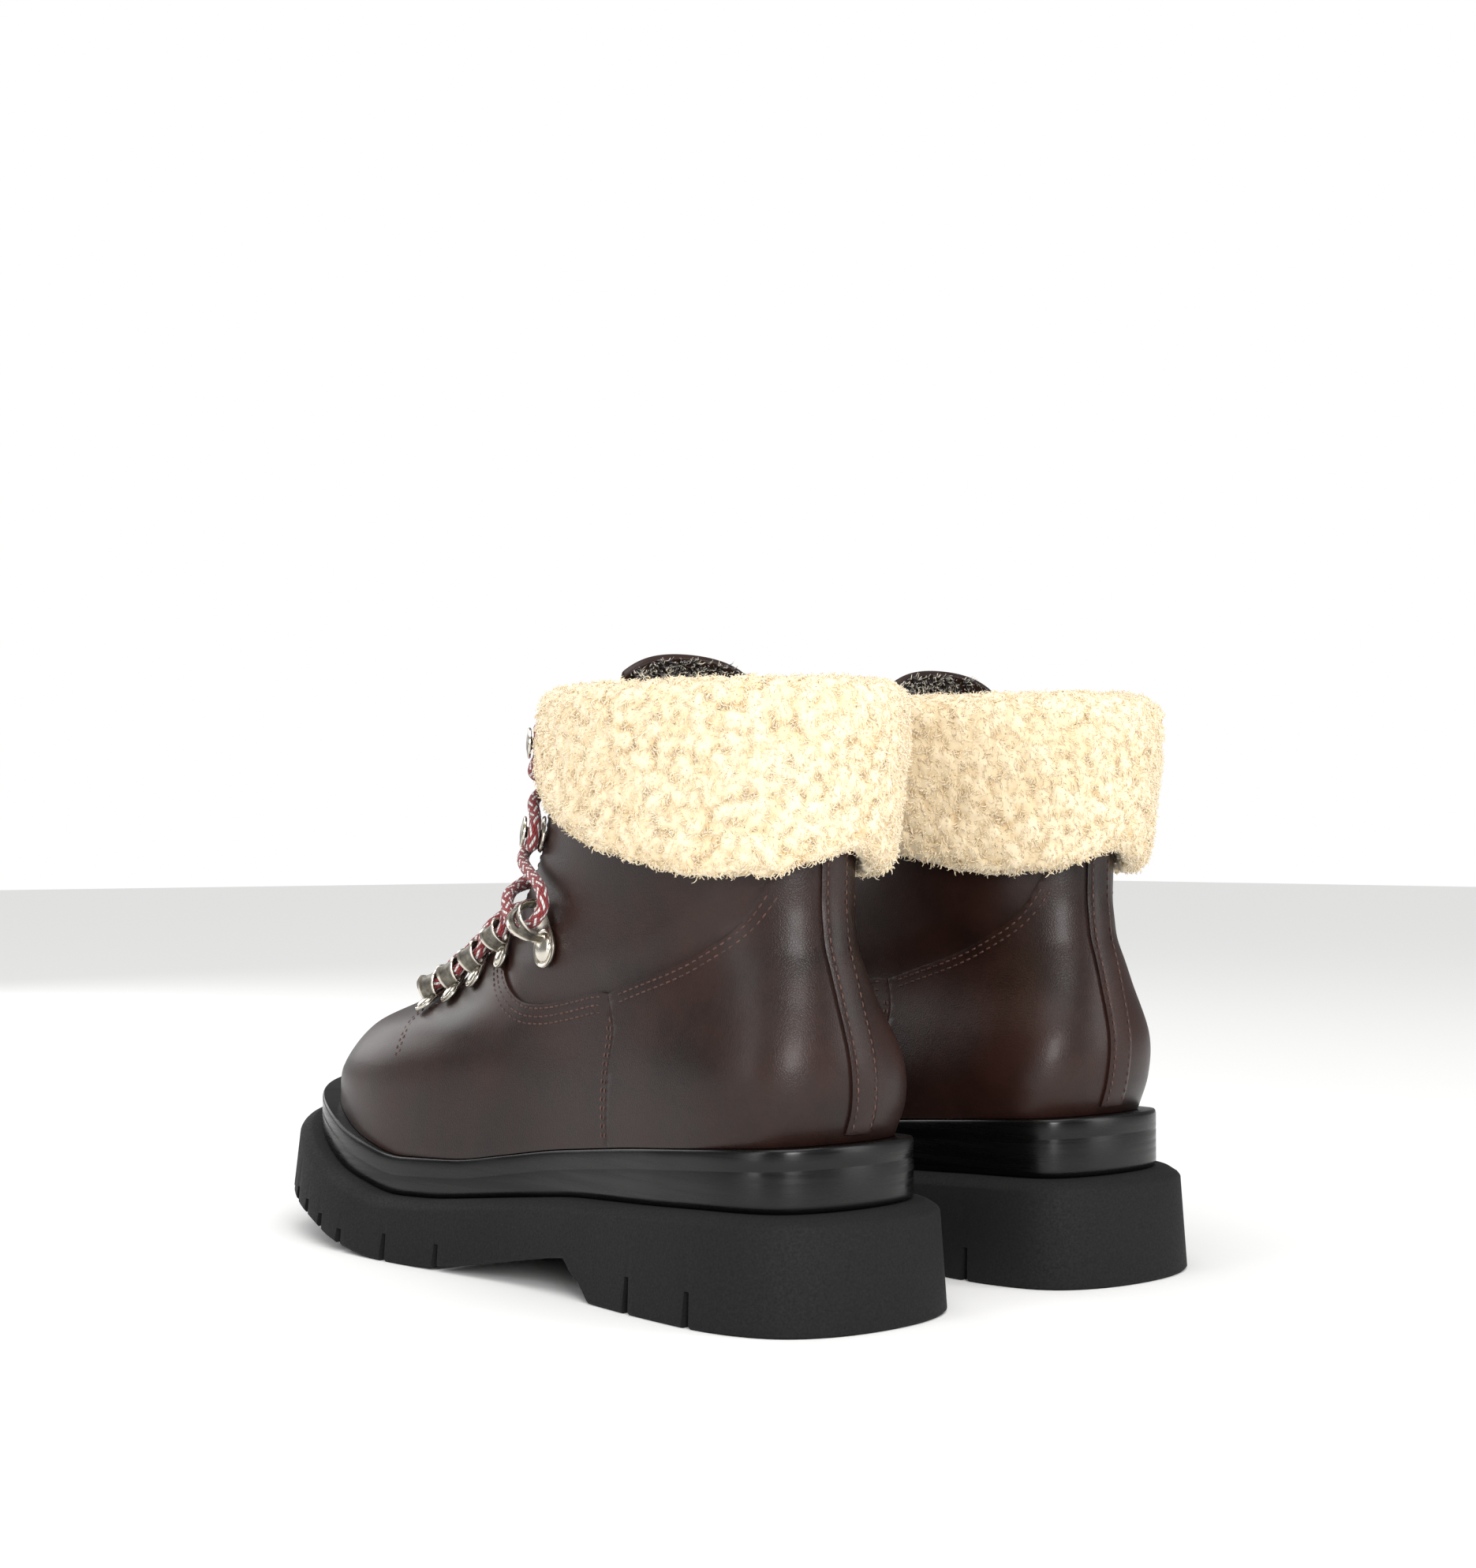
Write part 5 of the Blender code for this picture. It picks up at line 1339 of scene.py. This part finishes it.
def stampedEyelet(size, length, window=False):
    at = metal["at"] * (1.0 if size < 1.2 else 1.25)
    inner = (boot["lace"] / 2 + 0.0013) * size
    low, high = metal["seat"], metal["seat"] + metal["plate"]
    circle = [(metal["base"] * size * cos(a), metal["base"] * size * sin(a))
              for a in np.linspace(0, 2 * pi, 28, endpoint=False)]
    foot = [(at + inner + 0.0014, y) for y in (-length / 2, length / 2)]
    foot += [(at - inner, length / 2 + 0.0006), (at - inner, -length / 2 - 0.0004)]
    plate = plateOutline(hullOf(circle + foot), low, high, "plate")
    ring = metal["base"] * size
    head = metal["rivet"] * size
    collar = lathe("collar",
                   [(ring * 0.97, high - 0.0001), (ring * 0.97, high + 0.00035), (ring * 0.90, high + 0.00055),
                              (ring * 0.82, high + 0.00035), (ring * 0.80, high - 0.0001)])
    rimAttribute(collar, 0.8)
    dome = [(head * cos(a), high + 0.0001 + 0.0013 * size**0.5 * sin(a)) for a in np.linspace(0, pi / 2, 8)]
    rivet = lathe("rivet", [(head, high - 0.0002)] + dome[:-1] + [(0, dome[-1][1])])
    rimAttribute(rivet, 0.7)
    parts = [plate, collar, rivet, hood(size, length, window, at, inner)]
    if window:
        small = [(0.0011 * cos(a), high + 0.0007 * sin(a)) for a in np.linspace(0, pi / 2, 5)]
        extra = lathe("smallRivet", small[:-1] + [(0, small[-1][1])], 16)
        extra.data.transform(Matrix.Translation((at * 0.52, -0.0048, 0)))
        rimAttribute(extra, 0.7)
        tab = lathe("tab", [(0.0008, -0.0016), (0.0008, 0.0016), (0, 0.0016)], 16)
        tab.data.transform(Matrix.Translation((at + inner + 0.0008, length * 0.42, high + 0.0008)))
        rimAttribute(tab, 0.8)
        parts += [extra, tab]
    ob = joined(parts, "eyelet")
    recalculate(ob)
    smoothShade(ob, 40)
    return ob


def speedHook():   # a wide ringed base, a neck, and the cap that the lace is pulled behind
    low = metal["seat"]
    high = low + metal["plate"]
    top = high + boot["lace"] + 0.0012
    profile = [(0, low), (0.0060, low), (0.0063, low + 0.0002), (0.0063, high - 0.0002), (0.0059, high + 0.0002),
               (0.0052, high + 0.0001),
               (0.0048, high - 0.0002), (0.0040, high + 0.0001), (0.0032, high + 0.0004), (0.0022, high + 0.0006),
               (0.0018, high + 0.0012),
               (0.0018, top - 0.0006), (0.0024, top), (0.0048, top + 0.0001), (0.0053, top + 0.0004),
               (0.0053, top + 0.0009), (0.0049, top + 0.0012),
               (0.0042, top + 0.0011), (0.0036, top + 0.0013), (0.0020, top + 0.0016), (0, top + 0.0017)]
    ob = lathe("speedHook", profile, 48)
    radius = np.array([v.co.xy.length for v in ob.data.vertices])
    rimAttribute(ob, smooth((radius - 0.0046) / 0.0006) * 0.9 + 0.1)
    smoothShade(ob, 40)
    return ob


def seatOf(index, hand):
    def turn(t):   # inner fittings mirror the outer ones
        return t if hand > 0 else 2 * pi - t

    s, t = fittings[index]
    t = turn(t)
    p = upper(s, t)
    n = upper(s, t, -0.001) - p
    n /= np.linalg.norm(n)
    lo, hi = upper(max(s - 0.35, 0), t), upper(min(s + 0.35, 7), t)
    if index < 4:
        a, b = fittings[max(index - 1, 0)], fittings[min(index + 1, 3)]
        lo = upper(a[0], turn(a[1]))
        hi = upper(b[0], turn(b[1]))
    row = hi - lo
    row -= n * (row @ n)
    row /= np.linalg.norm(row)
    inward = np.cross(row, n)
    if inward[0] * hand > 0:
        inward = -inward
    if index == 4:
        tilted = inward * 0.94 + row * 0.34
        row = row * 0.94 - inward * 0.34
        inward = tilted
    s, t = np.meshgrid(fittings[index][0] + np.linspace(-0.5, 0.5, 11),
                       fittings[index][1] + np.linspace(-0.5, 0.7, 25), indexing="ij")
    near = upper(s, turn(t)) - p
    x, y, z = near @ inward, near @ row, near @ n
    reach = (-0.0045, 0.0125, 0.0045) if index < 4 else (-0.0065, 0.017, 0.0065)
    if index > 4:
        reach = (-0.0065, 0.0065, 0.0065)
    under = (x > reach[0]) & (x < reach[1]) & (np.abs(y) < reach[2])
    return p + n * (max(float(z[under].max()), 0.0) + 0.0003), inward, row, n


models = {"tunnel": stampedEyelet(1.0, 0.0080), "ankle": stampedEyelet(1.55, 0.0058, True), "speed": speedHook()}
labels = ["tunnel_eyelet_1", "tunnel_eyelet_2", "tunnel_eyelet_3", "tunnel_eyelet_4", "ankle_hook",
          "lower_speed_hook", "upper_speed_hook"]
for hand, side in ((1, "lateral"), (-1, "medial")):
    for index, label in enumerate(labels):
        model = models["tunnel" if index < 4 else "ankle" if index == 4 else "speed"]
        p, a, b, n = seatOf(index, hand)
        turnIn = np.array([[1, 0, 0], [0, -1, 0], [0, 0, 1.0]])
        columns = [turnIn @ axis for axis in (a, b, n)]
        matrix = Matrix([[columns[c][r] for c in range(3)] + [toFrame(p)[r]] for r in range(3)] + [[0, 0, 0, 1]])
        mesh = model.data.copy()
        mesh.transform(matrix)
        if matrix.to_3x3().determinant() < 0:
            flipNormals(mesh)
        ob = bpy.data.objects.new(label, mesh)
        bpy.context.scene.collection.objects.link(ob)
        onBoth(ob, "nickel_%s_%s" % (side, label), nickelMat, ("%s_%s" % (side, label),))
for model in models.values():
    bpy.data.objects.remove(model)
print("hardware done")

for word, mat in (("insole_board", boardMat), ("heel_counter", stiffMat), ("toe_puff", stiffMat),
                  ("footbed", footbedMat)):
    for side in "LR":
        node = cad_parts[word + "_" + side]
        node.data.materials.clear()
        node.data.materials.append(mat)
